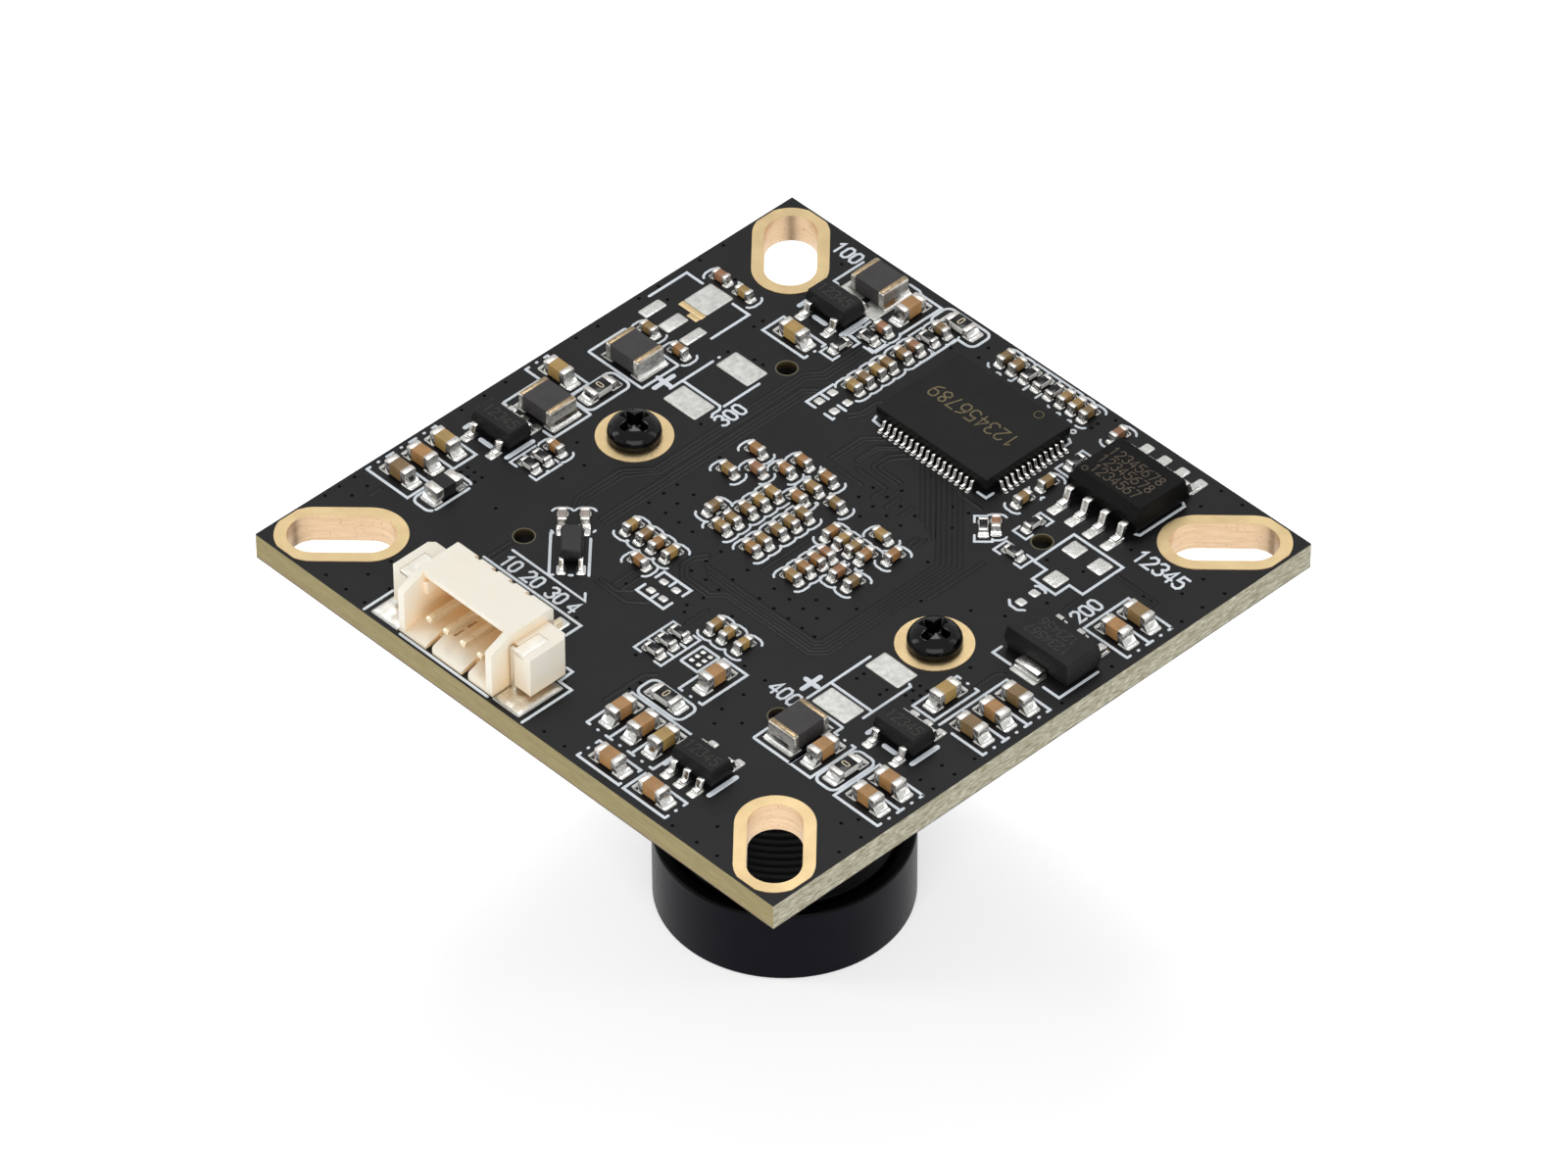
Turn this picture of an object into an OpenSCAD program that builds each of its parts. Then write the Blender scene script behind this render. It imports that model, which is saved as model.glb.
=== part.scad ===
// Square camera module that stands on its lens, component side up.
// Origin: centre of the lens's front rim. +Z runs up the optical axis, from the rim to the board.
// The plug-in connector sits on the -Y edge with its mouth towards -Y.

/* [Board] */
// Side of the square circuit board
board_w = 38; // [38:0.5:60]
// Thickness of the circuit board
board_t = 1.6; // [1:0.1:2.4]
// Thickness of solder pads and lands
pad_t = 0.05; // [0.03:0.01:0.1]
// Bare margin between a land and the board's edge
land_margin = 0.15; // [0.1:0.05:0.4]

/* [Corner slots] */
// Clear width of a corner slot, inside its plating
slot_w = 2.8; // [2:0.1:3]
// Distance between the two end centres of a slot
slot_run = 2.83; // [1:0.1:3]
// Distance from a slot's outer end centre to both nearest edges
slot_inset = 2.1; // [2:0.1:3]
// Width of the land round a slot
slot_land = 0.65; // [0.3:0.05:0.7]
// Thickness of the plating on a slot's wall
slot_plate_t = 0.05; // [0.03:0.01:0.1]

/* [Small holes] */
// Spacing of the locating holes along X
locating_x = 18.7; // [18.6:0.1:18.8]
// Spacing of the locating holes along Y
locating_y = 18.6; // [18.5:0.1:18.7]
// Diameter of a locating hole
locating_d = 1.1; // [0.8:0.1:1.2]

/* [Holder screws] */
// Distance between the two screws
screw_pitch = 22; // [21.8:0.1:22.2]
// Diameter of the screw's shank
screw_d = 1.7; // [1.4:0.1:1.8]
// Diameter of the screw's head
screw_head_d = 2.9; // [2.6:0.1:3.2]
// Height of the screw's head
screw_head_h = 1.1; // [0.9:0.1:1.4]
// Length of the shank under the head
screw_l = 6; // [5:0.5:6]
// Arm length of the cross recess
screw_cross_l = 1.6; // [1.2:0.1:1.8]
// Arm width of the cross recess
screw_cross_w = 0.36; // [0.3:0.02:0.5]
// Depth of the cross recess
screw_cross_h = 0.6; // [0.4:0.1:0.8]
// Diameter of the clearance hole through the board
screw_hole_d = 2; // [1.9:0.1:2.2]
// Diameter of the gold land under a screw
screw_land_d = 4.1; // [3.6:0.1:4.2]

/* [Lens holder] */
// Side of the holder's square base
holder_w = 15; // [14.8:0.1:16]
// Height of the whole holder
holder_h = 10.5; // [9.5:0.25:12]
// Height of the square base
holder_base_h = 5; // [4.8:0.1:6]
// Corner radius of the square base
holder_corner_r = 1.2; // [0.5:0.1:1.5]
// Outer diameter of the round neck
neck_d = 14.2; // [13.8:0.1:14.6]
// Height of a screw ear
ear_h = 5; // [4.6:0.1:5.6]
// Width of a screw ear
ear_w = 4.4; // [4:0.1:4.8]
// Side of the cavity round the sensor
cavity_w = 12.4; // [11.6:0.1:12.8]
// Depth of the cavity round the sensor
cavity_h = 3; // [2.6:0.1:3.4]
// Side of the square infrared filter
filter_w = 8.6; // [8.4:0.1:9]
// Thickness of the infrared filter
filter_t = 0.3; // [0.2:0.05:0.5]
// Depth of the pocket that the filter lies in
filter_pocket_h = 0.45; // [0.4:0.05:0.6]
// Clearance round the filter in its pocket
filter_gap = 0.1; // [0.05:0.05:0.2]
// Diameter of the light opening under the filter
aperture_d = 7.6; // [7:0.1:8]
// Thickness of the web under the filter
web_t = 0.6; // [0.4:0.1:0.8]
// Gap between the web and the lens's rear end
rear_gap = 1.55; // [0.8:0.05:3]

/* [Lens barrel] */
// Diameter of the threaded shaft
shaft_d = 12; // [11.8:0.1:12.2]
// Radial clearance between the shaft and the holder's bore
shaft_gap = 0.05; // [0.03:0.01:0.08]
// Spacing of the rings cut in the lens shaft for its fine thread, two of the thread's pitches
thread_step = 1; // [0.8:0.1:1.6]
// Depth of those rings
thread_depth = 0.24; // [0.16:0.02:0.3]
// Length of the barrel from rim to rear end
barrel_l = 17.4; // [16.8:0.1:17.8]
// Diameter of the lens head
head_d = 13.9; // [13.6:0.1:15]
// Length of the lens head
head_h = 4.6; // [4.2:0.1:5.5]
// Radial width of the head's rear rim
head_rim_w = 0.6; // [0.4:0.05:0.65]
// Depth of the relief between the rear rim and the shaft
head_relief_h = 0.8; // [0.4:0.1:1.2]
// Chamfer on the head's edges
head_chamfer = 0.15; // [0.1:0.05:0.3]
// Radial width of the flat front rim
front_rim_w = 0.55; // [0.4:0.05:0.7]
// Depth of the flared front recess
flare_h = 0.7; // [0.4:0.1:1]

/* [Lens stack] */
// Diameter of the front element
front_d = 11.2; // [10.8:0.1:11.6]
// Edge thickness of the front element
front_edge_t = 1.3; // [1.1:0.1:1.5]
// Radius of the front element's outer surface
front_r = 16; // [12:0.5:30]
// Diameter of the hollow behind the front element
front_hollow_d = 6.8; // [6.4:0.1:7]
// Radius of the hollow behind the front element
front_hollow_r = 5; // [4.6:0.1:6]
// Height of the ring that keeps the front element in
keeper_h = 0.6; // [0.4:0.1:0.8]
// Diameter of the inner elements
inner_d = 8.4; // [8:0.1:8.6]
// Height of the long spacer behind the front element
long_spacer_h = 4.6; // [4.2:0.1:5]
// Edge thickness of the second element
second_edge_t = 1.5; // [1.3:0.1:1.7]
// Height of the stop ring
stop_h = 0.8; // [0.6:0.1:1]
// Opening of the stop ring
stop_d = 3.2; // [2:0.1:4]
// Edge thickness of the third element
third_edge_t = 1.6; // [1.4:0.1:1.8]
// Height of the short spacer
short_spacer_h = 1.6; // [1.4:0.1:1.8]
// Edge thickness of the rear element
rear_edge_t = 1.8; // [1.6:0.1:2]
// Height of the ring that keeps the inner elements in
rear_keeper_h = 1; // [0.8:0.1:1.2]
// Radius of the strongly curved inner surfaces
strong_r = 9; // [8:0.5:12]
// Radius of the weaker hollow of the second element
weak_r = 12.5; // [11:0.5:16]
// Radial clearance of the glass in the barrel
glass_gap = 0.02; // [0.01:0.01:0.05]
// Radial wall of the spacers and keeper rings
ring_wall = 0.8; // [0.6:0.1:1]

/* [Image sensor] */
// Length of the sensor's package
sensor_l = 8.8; // [8.4:0.1:9.4]
// Width of the sensor's package
sensor_w = 8; // [7.6:0.1:8.6]
// Height of the sensor's package
sensor_h = 1.3; // [1.2:0.05:1.5]
// Wall between the package's side and its cavity
sensor_wall = 0.9; // [0.7:0.1:1.2]
// Depth of the cavity under the cover glass
sensor_cavity_h = 0.55; // [0.45:0.05:0.65]
// Thickness of the die
die_t = 0.25; // [0.15:0.05:0.35]
// Margin between the die and the cavity's wall
die_margin = 0.5; // [0.3:0.1:0.7]
// Thickness of the cover glass
cover_t = 0.4; // [0.3:0.05:0.5]
// Overlap of the cover glass over the cavity's wall
cover_lap = 0.4; // [0.3:0.05:0.5]

/* [Connector] */
// Centre of the connector along X
conn_x = -5.1; // [-6:0.02:-5]
// Distance from the board's edge to the connector's front
conn_setback = 0.35; // [0.2:0.05:0.6]
// Number of contacts
conn_ways = 4; // [3:1:6]
// Distance between contacts
conn_pitch = 1.25; // [1.2:0.05:1.3]
// Housing beyond the outer contacts, on each side
conn_side = 1.58; // [1.5:0.02:1.7]
// Depth of the housing, front to back
conn_depth = 4.28; // [4:0.05:4.5]
// Height of the housing
conn_h = 3.4; // [3.2:0.05:3.6]
// Thickness of the side walls
conn_wall = 0.45; // [0.4:0.05:0.6]
// Thickness of the floor
conn_floor_t = 0.55; // [0.45:0.05:0.65]
// Thickness of the roof
conn_roof_t = 0.6; // [0.5:0.05:0.8]
// Thickness of the back wall
conn_back_t = 0.95; // [0.8:0.05:1.1]
// How far the roof is set back from the front
conn_roof_back = 1.4; // [1:0.05:1.6]
// Height of the side walls at the front
conn_nose_h = 2.8; // [2.5:0.05:3]
// Width of an ear
conn_ear_w = 1.6; // [1.4:0.05:1.7]
// Height of an ear's top
conn_ear_h = 2.75; // [2.5:0.05:3]
// Height of an ear's underside above the board
conn_ear_z = 0.35; // [0.3:0.05:0.45]
// Distance from the housing's front to the ear's front
conn_ear_front = 1.15; // [1:0.05:1.3]
// Distance from the housing's back to the ear's back
conn_ear_back = 0.45; // [0.3:0.05:0.6]
// Cut across an ear's outer back corner
conn_ear_cut = 0.3; // [0.2:0.05:0.4]
// Width of a contact
contact_w = 0.35; // [0.3:0.05:0.45]
// Height of a contact's blade
contact_t = 0.4; // [0.35:0.05:0.5]
// Height of the blades' centre above the board
contact_z = 1.3; // [1.2:0.05:1.5]
// Distance from the housing's front to the blades' tips
contact_front = 0.6; // [0.45:0.05:0.8]
// How far the contact tails reach behind the housing
contact_tail = 1.9; // [1.7:0.05:2.1]
// Length of a contact's foot on its pad
contact_foot = 0.75; // [0.6:0.05:0.85]
// Gap between the housing's side and the nail in the ear's top
nail_offset = 0.35; // [0.25:0.05:0.4]
// Width of the slot between the housing's side and the ear's front block
ear_slot_w = 0.45; // [0.45:0.05:0.5]
// Depth of that slot behind the ear's front
ear_slot_l = 0.4; // [0.35:0.05:0.5]
// Width of the nail's leg in the slot
nail_leg_w = 0.35; // [0.25:0.05:0.4]
// Thickness of the tails and fitting nails
nail_t = 0.25; // [0.2:0.05:0.3]
// Width of a fitting nail
nail_w = 0.75; // [0.6:0.05:0.8]
// Length of a fitting nail
nail_l = 1.75; // [1.4:0.05:1.8]

/* [Chips] */
// Length of the processor's body
processor_l = 8.1; // [7.8:0.1:8.4]
// Width of the processor's body
processor_w = 6.1; // [5.8:0.1:6.4]
// Height of the processor's body
processor_h = 0.85; // [0.7:0.05:1]
// Lead pitch of the processor
processor_pitch = 0.4; // [0.38:0.01:0.42]
// Reach of the processor's leads from its body
processor_reach = 0.65; // [0.6:0.05:0.75]
// Length of the flash memory's body
flash_l = 4.9; // [4.7:0.1:5.1]
// Width of the flash memory's body
flash_w = 3.9; // [3.7:0.1:4.1]
// Height of the flash memory's body
flash_h = 1.45; // [1.25:0.05:1.6]
// Lead pitch of the flash memory
flash_pitch = 1.27; // [1.25:0.01:1.3]
// Reach of the flash memory's leads from its body
flash_reach = 1.05; // [0.95:0.05:1.1]
// Length of the regulator's body
regulator_l = 4.5; // [4.3:0.1:4.7]
// Width of the regulator's body
regulator_w = 2.5; // [2.3:0.1:2.7]
// Height of the regulator's body
regulator_h = 1.4; // [1.25:0.05:1.6]
// Lead pitch of the regulator
regulator_pitch = 1.5; // [1.45:0.05:1.6]
// Reach of the regulator's three leads from its body
regulator_reach = 0.9; // [0.8:0.05:1]
// Reach of the regulator's tab from its body
regulator_tab = 0.65; // [0.55:0.05:0.75]
// Length of a small five-lead chip
small_chip_l = 2.9; // [2.8:0.05:3.1]
// Width of a small five-lead chip
small_chip_w = 1.6; // [1.5:0.05:1.7]
// Height of a small five-lead chip
small_chip_h = 1.05; // [0.9:0.05:1.2]
// Lead pitch of a small five-lead chip
small_chip_pitch = 0.95; // [0.9:0.01:1]
// Reach of a small five-lead chip's leads
small_chip_reach = 0.7; // [0.6:0.05:0.75]
// Length of the diode array
diode_l = 2.1; // [2:0.05:2.2]
// Width of the diode array
diode_w = 1.25; // [1.2:0.05:1.4]
// Height of the diode array
diode_h = 0.85; // [0.7:0.05:1]
// Lead pitch of the diode array
diode_pitch = 1; // [0.9:0.05:1]
// Reach of the diode array's leads
diode_reach = 0.6; // [0.5:0.05:0.65]
// Gap between a chip's body and the board
chip_lift = 0.12; // [0.1:0.01:0.15]
// Inward slope of a moulded body's sides, for each half
chip_draft = 0.12; // [0.05:0.01:0.15]

/* [Passives] */
// Length of a power inductor
inductor_l = 2.45; // [2.3:0.05:2.6]
// Width of a power inductor
inductor_w = 1.95; // [1.8:0.05:2.1]
// Height of a power inductor
inductor_h = 1.05; // [0.9:0.05:1.2]
// Length of the ferrite bead
bead_l = 1.85; // [1.75:0.05:2]
// Width of the ferrite bead
bead_w = 1; // [0.9:0.05:1.1]
// Height of the ferrite bead
bead_h = 0.75; // [0.65:0.05:0.9]
// Length of a small capacitor
small_cap_l = 1.6; // [1.5:0.05:1.7]
// Width of a small capacitor
small_cap_w = 0.8; // [0.75:0.05:0.9]
// Height of a small capacitor
small_cap_h = 0.8; // [0.7:0.05:0.9]
// Length of a tiny capacitor or resistor
tiny_l = 1; // [0.95:0.01:1.05]
// Width of a tiny capacitor or resistor
tiny_w = 0.5; // [0.45:0.01:0.55]
// Height of a tiny capacitor
tiny_cap_h = 0.5; // [0.4:0.05:0.6]
// Height of a tiny resistor
tiny_res_h = 0.35; // [0.3:0.05:0.45]
// Length of a zero-ohm link
link_l = 1.6; // [1.5:0.05:1.7]
// Width of a zero-ohm link
link_w = 0.85; // [0.75:0.05:0.9]
// Height of a zero-ohm link
link_h = 0.45; // [0.35:0.05:0.55]
// Share of a passive's length that each metal end covers
end_share = 0.22; // [0.15:0.01:0.3]
// How far the metal ends stand proud of the body
end_proud = 0.02; // [0.01:0.01:0.04]

/* [Hidden] */

$fn = 64;
eps = 0.01;

edge = board_w / 2;
board_z = barrel_l + rear_gap + web_t + filter_pocket_h + cavity_h;
top_z = board_z + board_t;
seat_z = top_z + pad_t;

// Corner slots
slot_r = slot_w / 2;
slot_drill_r = slot_r + slot_plate_t;
slot_land_r = slot_r + slot_land;

// Holder, measured down from the board's underside
filter_z = board_z - cavity_h - filter_pocket_h;
bore_top_z = filter_z - web_t;
holder_z = board_z - holder_h;
bore_r = shaft_d / 2 + shaft_gap;
pilot_gap = 0.02;

// Sensor, measured down from the board's underside
cavity_l = sensor_l - 2 * sensor_wall;
cavity_side = sensor_w - 2 * sensor_wall;
cover_gap = 0.05;

// Lens stack, from the front rim upwards
front_bore_r = front_d / 2 + glass_gap;
inner_bore_r = inner_d / 2 + glass_gap;
keeper_z = flare_h;
front_z = keeper_z + keeper_h;
inner_z = front_z + front_edge_t;
second_z = inner_z + long_spacer_h;
stop_z = second_z + second_edge_t;
third_z = stop_z + stop_h;
short_z = third_z + third_edge_t;
rear_z = short_z + short_spacer_h;
rear_keeper_z = rear_z + rear_edge_t;
inner_clear_d = inner_d - 2 * ring_wall;
keeper_notch = 0.8;
thread_z = head_h - head_relief_h + 0.4;
thread_rings = floor((barrel_l - 0.8 - thread_z) / thread_step);

// Connector
conn_w = (conn_ways - 1) * conn_pitch + 2 * conn_side;
conn_y = -edge + conn_setback;
conn_cavity_y = conn_depth - conn_back_t;
contact_xs = [for (i = [0:conn_ways - 1]) (i - (conn_ways - 1) / 2) * conn_pitch];
// Slits in the floor, measured from the outer contacts
slit_x = contact_xs[conn_ways - 1] - 0.545;
slit_w = 0.3;
slit_l = 1;
// Windows in the floor beside the blades
tongue_corner_r = 0.35;
groove_h = 0.2;
lead_in_l = 1;
lead_in_t = 0.2;
roof_lead_l = 0.6;
roof_lip_t = 0.3;
window_w = 0.45;
window_l = 1.6;
window_bar = 0.25;
window_y = 1.33;
window_shift = 0.6;
barred_window_w = 0.15;
barred_window_shift = 0.15;
// Ledge along each inner side wall
ledge_z = 1.9;
ledge_w = 0.25;
// Notches in the roof's back edge
notch_w = 0.4;
notch_h = 0.35;
notch_l = 0.3;
// Pads under the ears
tab_pad_w = 2;
tab_pad_l = 3.1;
tab_gap = 0.05;

// Sizes of the packages and passives, as [length, width, height]
processor = [processor_l, processor_w, processor_h];
flash = [flash_l, flash_w, flash_h];
regulator = [regulator_l, regulator_w, regulator_h];
small_chip = [small_chip_l, small_chip_w, small_chip_h];
diode_array = [diode_l, diode_w, diode_h];
inductor = [inductor_l, inductor_w, inductor_h];
bead = [bead_l, bead_w, bead_h];
cap_small = [small_cap_l, small_cap_w, small_cap_h];
cap_tiny = [tiny_l, tiny_w, tiny_cap_h];
res_tiny = [tiny_l, tiny_w, tiny_res_h];
link = [link_l, link_w, link_h];

// Leads, as [foot length, thickness, width]
processor_lead = [0.35, 0.12, 0.18];
flash_lead = [0.5, 0.2, 0.42];
small_chip_lead = [0.35, 0.15, 0.4];
diode_lead = [0.3, 0.12, 0.25];
regulator_lead_t = 0.4;
regulator_lead_w = 0.44;
regulator_tab_w = 1.6;

// Share of a body's height at which its leads leave
parting = 0.45;

// Pads under leads, as [length, width, reach past the lead's tip]
processor_pad = [0.6, 0.22, 0.15];
flash_pad = [1.25, 0.62, 0.7];
regulator_pad = [1, 0.6, 0.2];
regulator_tab_pad = [1, 1.8, 0.35];
small_chip_pad = [0.95, 0.55, 0.35];
diode_pad = [0.75, 0.5, 0.2];
contact_pad = [1.5, 0.8, 0.35];

// Reach of the pads past the ends and the sides of passives
small_past = 0.45;
tiny_past = 0.22;
coil_past = 0.3;
pad_side = 0.04;

// Places on the board are given as [x, y, turn] from its centre, for a board of half side layout_edge.
// Parts past side_zone keep their distance from the left or right edge, and of the others those past
// end_zone keep theirs from the nearer end.
layout_edge = 19;
side_zone = 10.92;
end_zone = 4.9;

processor_at = [0.8, 12.83, 0];
long_side_leads = 17;
short_side_leads = 12;
flash_at = [10, 14.8, 0];
regulator_at = [15.8, 3.6, 0];
small_chips = [[-10.8, 14.2, 0], [-15.95, -4.75, 0], [14.92, -6, 0], [9.52, -14.75, 180]];
diode_array_at = [-6.82, -8.32, 135];
inductors = [[-10.35, 17, 0], [-15.3, 4.1, 0], [-15.55, -1.85, 0], [10.95, -9.5, 90]];
bead_at = [-14.65, -9.95, 90];

// Places of the small capacitors
small_caps = concat(
    [for (y = [8.6, 7, -0.05, -1.65, -3.25, -8.95, -10.5]) [16.95, y, 0]],
    [for (y = [-7.55, -9.15, -10.7]) [-17.13, y, 0]],
    [for (x = [6.05, 9.2]) [x, -17.75, 0]],
    [for (x = [3.8, 5.4, 6.9]) [x, -14.9, 90]],
    [[-17.1, 0.4, 0], [-10.78, 11.23, 0], [-7.95, 16.9, 90]],
    [[14.25, -2.45, 90], [5.3, -9.85, 90], [12.93, -9.7, 90]]
);

// Places of the zero-ohm links
links = [[-5.3, 18, 0], [4.6, -12.55, 0], [-14.75, 1.1, 90], [14.55, -9.7, 90]];

// Places of the tiny capacitors: two columns and two rows beside the processor, then the middle
tiny_caps = concat(
    [for (y = [16.95, 15, 14.15, 13.05, 12.3, 11.4, 10.6]) [-5.75, y, 0]],
    [for (x = [-1.8, -0.95, 2.6, 3.4, 4.2]) [x, 17.8, 90]],
    [[6.47, 17.72, 90], [6.5, 12.5, 90], [6.5, 10.75, 90], [6.95, 8.38, 135]],
    [[-8.83, -7.11, 135], [-8.02, -6.27, 135]],
    [[-16.75, 11.68, 0], [-15, 11.66, 0], [-16.38, 6.12, 0], [-14.05, 6.08, 0]],
    [[-7.95, 14.85, 0], [-13, -3.7, 0]],
    [for (x = [-3.35, -1.55]) [x, 4.65, 0]],
    [for (x = [-5.7, -3.55, -1.55, 0.15, 3.5]) [x, 3.6, 0]],
    [for (x = [-4.6, -1.55]) [x, 2.58, 0]],
    [for (x = [-2.7, -0.45], y = [1.85, 0.95, 0.05, -1, -1.8]) [x, y, 0]],
    [for (y = [0.6, -0.1, -0.95, -1.8]) [2.53, y, 0]],
    [for (x = [1.55, 2.4, 3.2, 4]) [x, 1.95, 90]],
    [for (x = [-5.9, -4.9, -4, -3]) [x, -5, 90]],
    [for (x = [2.5, 3.4, 4.5]) [x, -7.1, 90]],
    [[-5.6, 1.5, 0], [-4.05, -1, 90], [5, 2.95, 90], [3.95, 0.1, 90], [5, 0.1, 90], [-3.7, -6.55, 0]]
);

// Places of the tiny resistors
tiny_res = concat(
    [for (x = [-0.05, 0.85, 1.75]) [x, 17.8, 90]],
    [for (y = [-8.75, -9.65, -10.55]) [1.6, y, 0]],
    [for (y = [-4.65, -5.5]) [-13, y, 0]],
    [[-5.75, 16.05, 0], [-8, 13.9, 0], [-8.6, 12.4, 90], [6.35, 14.72, 90]],
    [[8.2, 9.8, 90], [9.03, 7.57, 0], [6.58, 7.84, 135]]
);

// Pads with no part on them, as [x, y, length along X, length along Y]
bare_pads = concat(
    [for (x = [-6.3, -5.2], y = [9.65, 8.7]) [x, y, 0.5, 0.5]],
    [for (y = [7.55, 3.78]) [-10.9, y, 2.4, 1.5]],
    [for (y = [-2.95, -6.68]) [10.9, y, 2.4, 1.45]],
    [[-16.08, 10.13, 1.75, 2]],
    [[-17.6, 7.52, 0.7, 1.5], [-16.02, 7.52, 0.85, 1.5], [-14.52, 7.52, 0.65, 1.5]],
    [[10.95, 10.05, 1, 1.05], [12.75, 10.05, 1, 1.05], [11.85, 7.78, 1, 1.05]],
    [for (y = [6.25, 5.3]) [11.85, y, 0.55, 0.5]],
    [for (x = [-1.85, -0.95], y = [-6.6, -7.5]) [x, y, 0.5, 0.4]],
    [for (x = [3.35, 3.85], y = [-8.8, -9.2, -9.6]) [x, y, 0.28, 0.24]]
);

// Moves children to a place on the board, at height z
module at(place, z) {
    side = abs(place[0]) > side_zone;
    end = !side && abs(place[1]) > end_zone;
    move = edge - layout_edge;
    x = place[0] + (side ? sign(place[0]) * move : 0);
    y = place[1] + (end ? sign(place[1]) * move : 0);
    translate([x, y, z])
        rotate([0, 0, place[2]])
            children();
}

// Puts children at each corner slot's outer end centre, with +X along the slot
module each_slot() {
    for (turn = [0:90:270])
        rotate([0, 0, turn])
            translate([edge - slot_inset, edge - slot_inset, 0])
                rotate([0, 0, 225])
                    children();
}

// Flat shape of a slot with round ends
module slot_shape(r, run) {
    circle(r = r);
    translate([run, 0]) circle(r = r);
    translate([0, -r]) square([run, 2 * r]);
}

// Flat square with round corners
module round_square(w, r) {
    square([w - 2 * r, w], center = true);
    square([w, w - 2 * r], center = true);
    for (sx = [-1, 1], sy = [-1, 1])
        translate([sx * (w / 2 - r), sy * (w / 2 - r)]) circle(r = r);
}

// Plate of the given size, centred, standing on z = 0
module plate(l, w, h) {
    translate([-l / 2, -w / 2, 0]) cube([l, w, h]);
}

// Moulded chip body whose sides slope in above and below the parting line
module moulded(size) {
    intersection() {
        rotate([90, 0, 0]) moulded_side(size[0], size[1], size[2]);
        rotate([90, 0, 90]) moulded_side(size[1], size[0], size[2]);
    }
}

// Side view of a moulded body, l wide, drawn out to the depth
module moulded_side(l, depth, h) {
    in = l / 2 - chip_draft;
    linear_extrude(depth, center = true)
        polygon([[-in, 0], [in, 0], [l / 2, h * parting], [in, h], [-in, h], [-l / 2, h * parting]]);
}

// Height of a lead's top above its foot's underside, for a body of height h
function lead_rise(h, size) = chip_lift - pad_t + h * parting + size[1] / 2;

// Bent lead that leaves a body at x = 0, at height rise, and stands on z = 0 at its foot
module lead(reach, rise, size) {
    run = reach - size[0];
    t = size[1];
    w = size[2];
    rotate([90, 0, 0])
        linear_extrude(w, center = true)
            polygon([
                [0, rise - t], [run * 0.45, rise - t], [run * 0.85, 0], [reach, 0], [reach, t],
                [run + t * 0.5, t], [run * 0.45 + t, rise], [0, rise],
            ]);
}

// One row of leads along Y, leaving towards +X from x = offset
module lead_row(offset, count, pitch, reach, rise, size) {
    for (i = [0:count - 1])
        translate([offset, (i - (count - 1) / 2) * pitch, 0])
            lead(reach, rise, size);
}

// Chip passive: a body between two metal ends that stand slightly proud
module passive(size) {
    cap_l = size[0] * end_share;
    translate([0, 0, end_proud])
        plate(size[0] - 2 * end_proud, size[1] - 2 * end_proud, size[2] - 2 * end_proud);
    for (side = [-1, 1])
        translate([side * (size[0] - cap_l) / 2, 0, 0]) plate(cap_l, size[1], size[2]);
}

// Two pads under a passive, reaching past its ends
module pad_pair(size, past) {
    pad_l = size[0] * end_share + past;
    for (side = [-1, 1])
        translate([side * (size[0] / 2 + past - pad_l / 2), 0, 0])
            plate(pad_l, size[1] + 2 * pad_side, pad_t);
}

// Row of pads along Y under leads whose feet end at x = tip
module pad_row(tip, count, pitch, pad) {
    for (i = [0:count - 1])
        translate([tip + pad[2] - pad[0] / 2, (i - (count - 1) / 2) * pitch, 0])
            plate(pad[0], pad[1], pad_t);
}

module circuit_board() {
    color([0.14, 0.14, 0.15])
        translate([0, 0, board_z])
            difference() {
                plate(board_w, board_w, board_t);
                translate([0, 0, -eps])
                    linear_extrude(board_t + 2 * eps) {
                        each_slot() slot_shape(slot_drill_r, slot_run);
                        for (side = [-1, 1])
                            translate([side * screw_pitch / 2, 0]) circle(d = screw_hole_d);
                        for (sx = [-1, 1], sy = [-1, 1])
                            translate([sx * locating_x / 2, sy * locating_y / 2]) circle(d = locating_d);
                    }
            }
}

// Lands on both faces of the board and the lining between them
module slot_plating() {
    color([0.93, 0.8, 0.55])
        difference() {
            union() {
                translate([0, 0, board_z])
                    linear_extrude(board_t) each_slot() slot_shape(slot_drill_r, slot_run);
                for (z = [board_z - pad_t, top_z])
                    translate([0, 0, z])
                        linear_extrude(pad_t)
                            intersection() {
                                each_slot() slot_shape(slot_land_r, slot_run);
                                square(board_w - 2 * land_margin, center = true);
                            }
            }
            translate([0, 0, board_z - 1])
                linear_extrude(board_t + 2) each_slot() slot_shape(slot_r, slot_run);
        }
}

module screw_lands() {
    color([0.93, 0.8, 0.55])
        for (side = [-1, 1])
            translate([side * screw_pitch / 2, 0, top_z])
                difference() {
                    cylinder(d = screw_land_d, h = pad_t);
                    translate([0, 0, -eps]) cylinder(d = screw_hole_d, h = pad_t + 2 * eps);
                }
}

module solder_pads() {
    color([0.8, 0.8, 0.82])
        translate([0, 0, top_z]) {
            for (place = small_caps) at(place, 0) pad_pair(cap_small, small_past);
            for (place = links) at(place, 0) pad_pair(link, small_past);
            for (place = concat(tiny_caps, tiny_res)) at(place, 0) pad_pair(cap_tiny, tiny_past);
            for (place = inductors) at(place, 0) pad_pair(inductor, coil_past);
            at(bead_at, 0) pad_pair(bead, coil_past);
            for (pad = bare_pads) at([pad[0], pad[1], 0], 0) plate(pad[2], pad[3], pad_t);
            chip_pads();
            connector_pads();
        }
}

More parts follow.
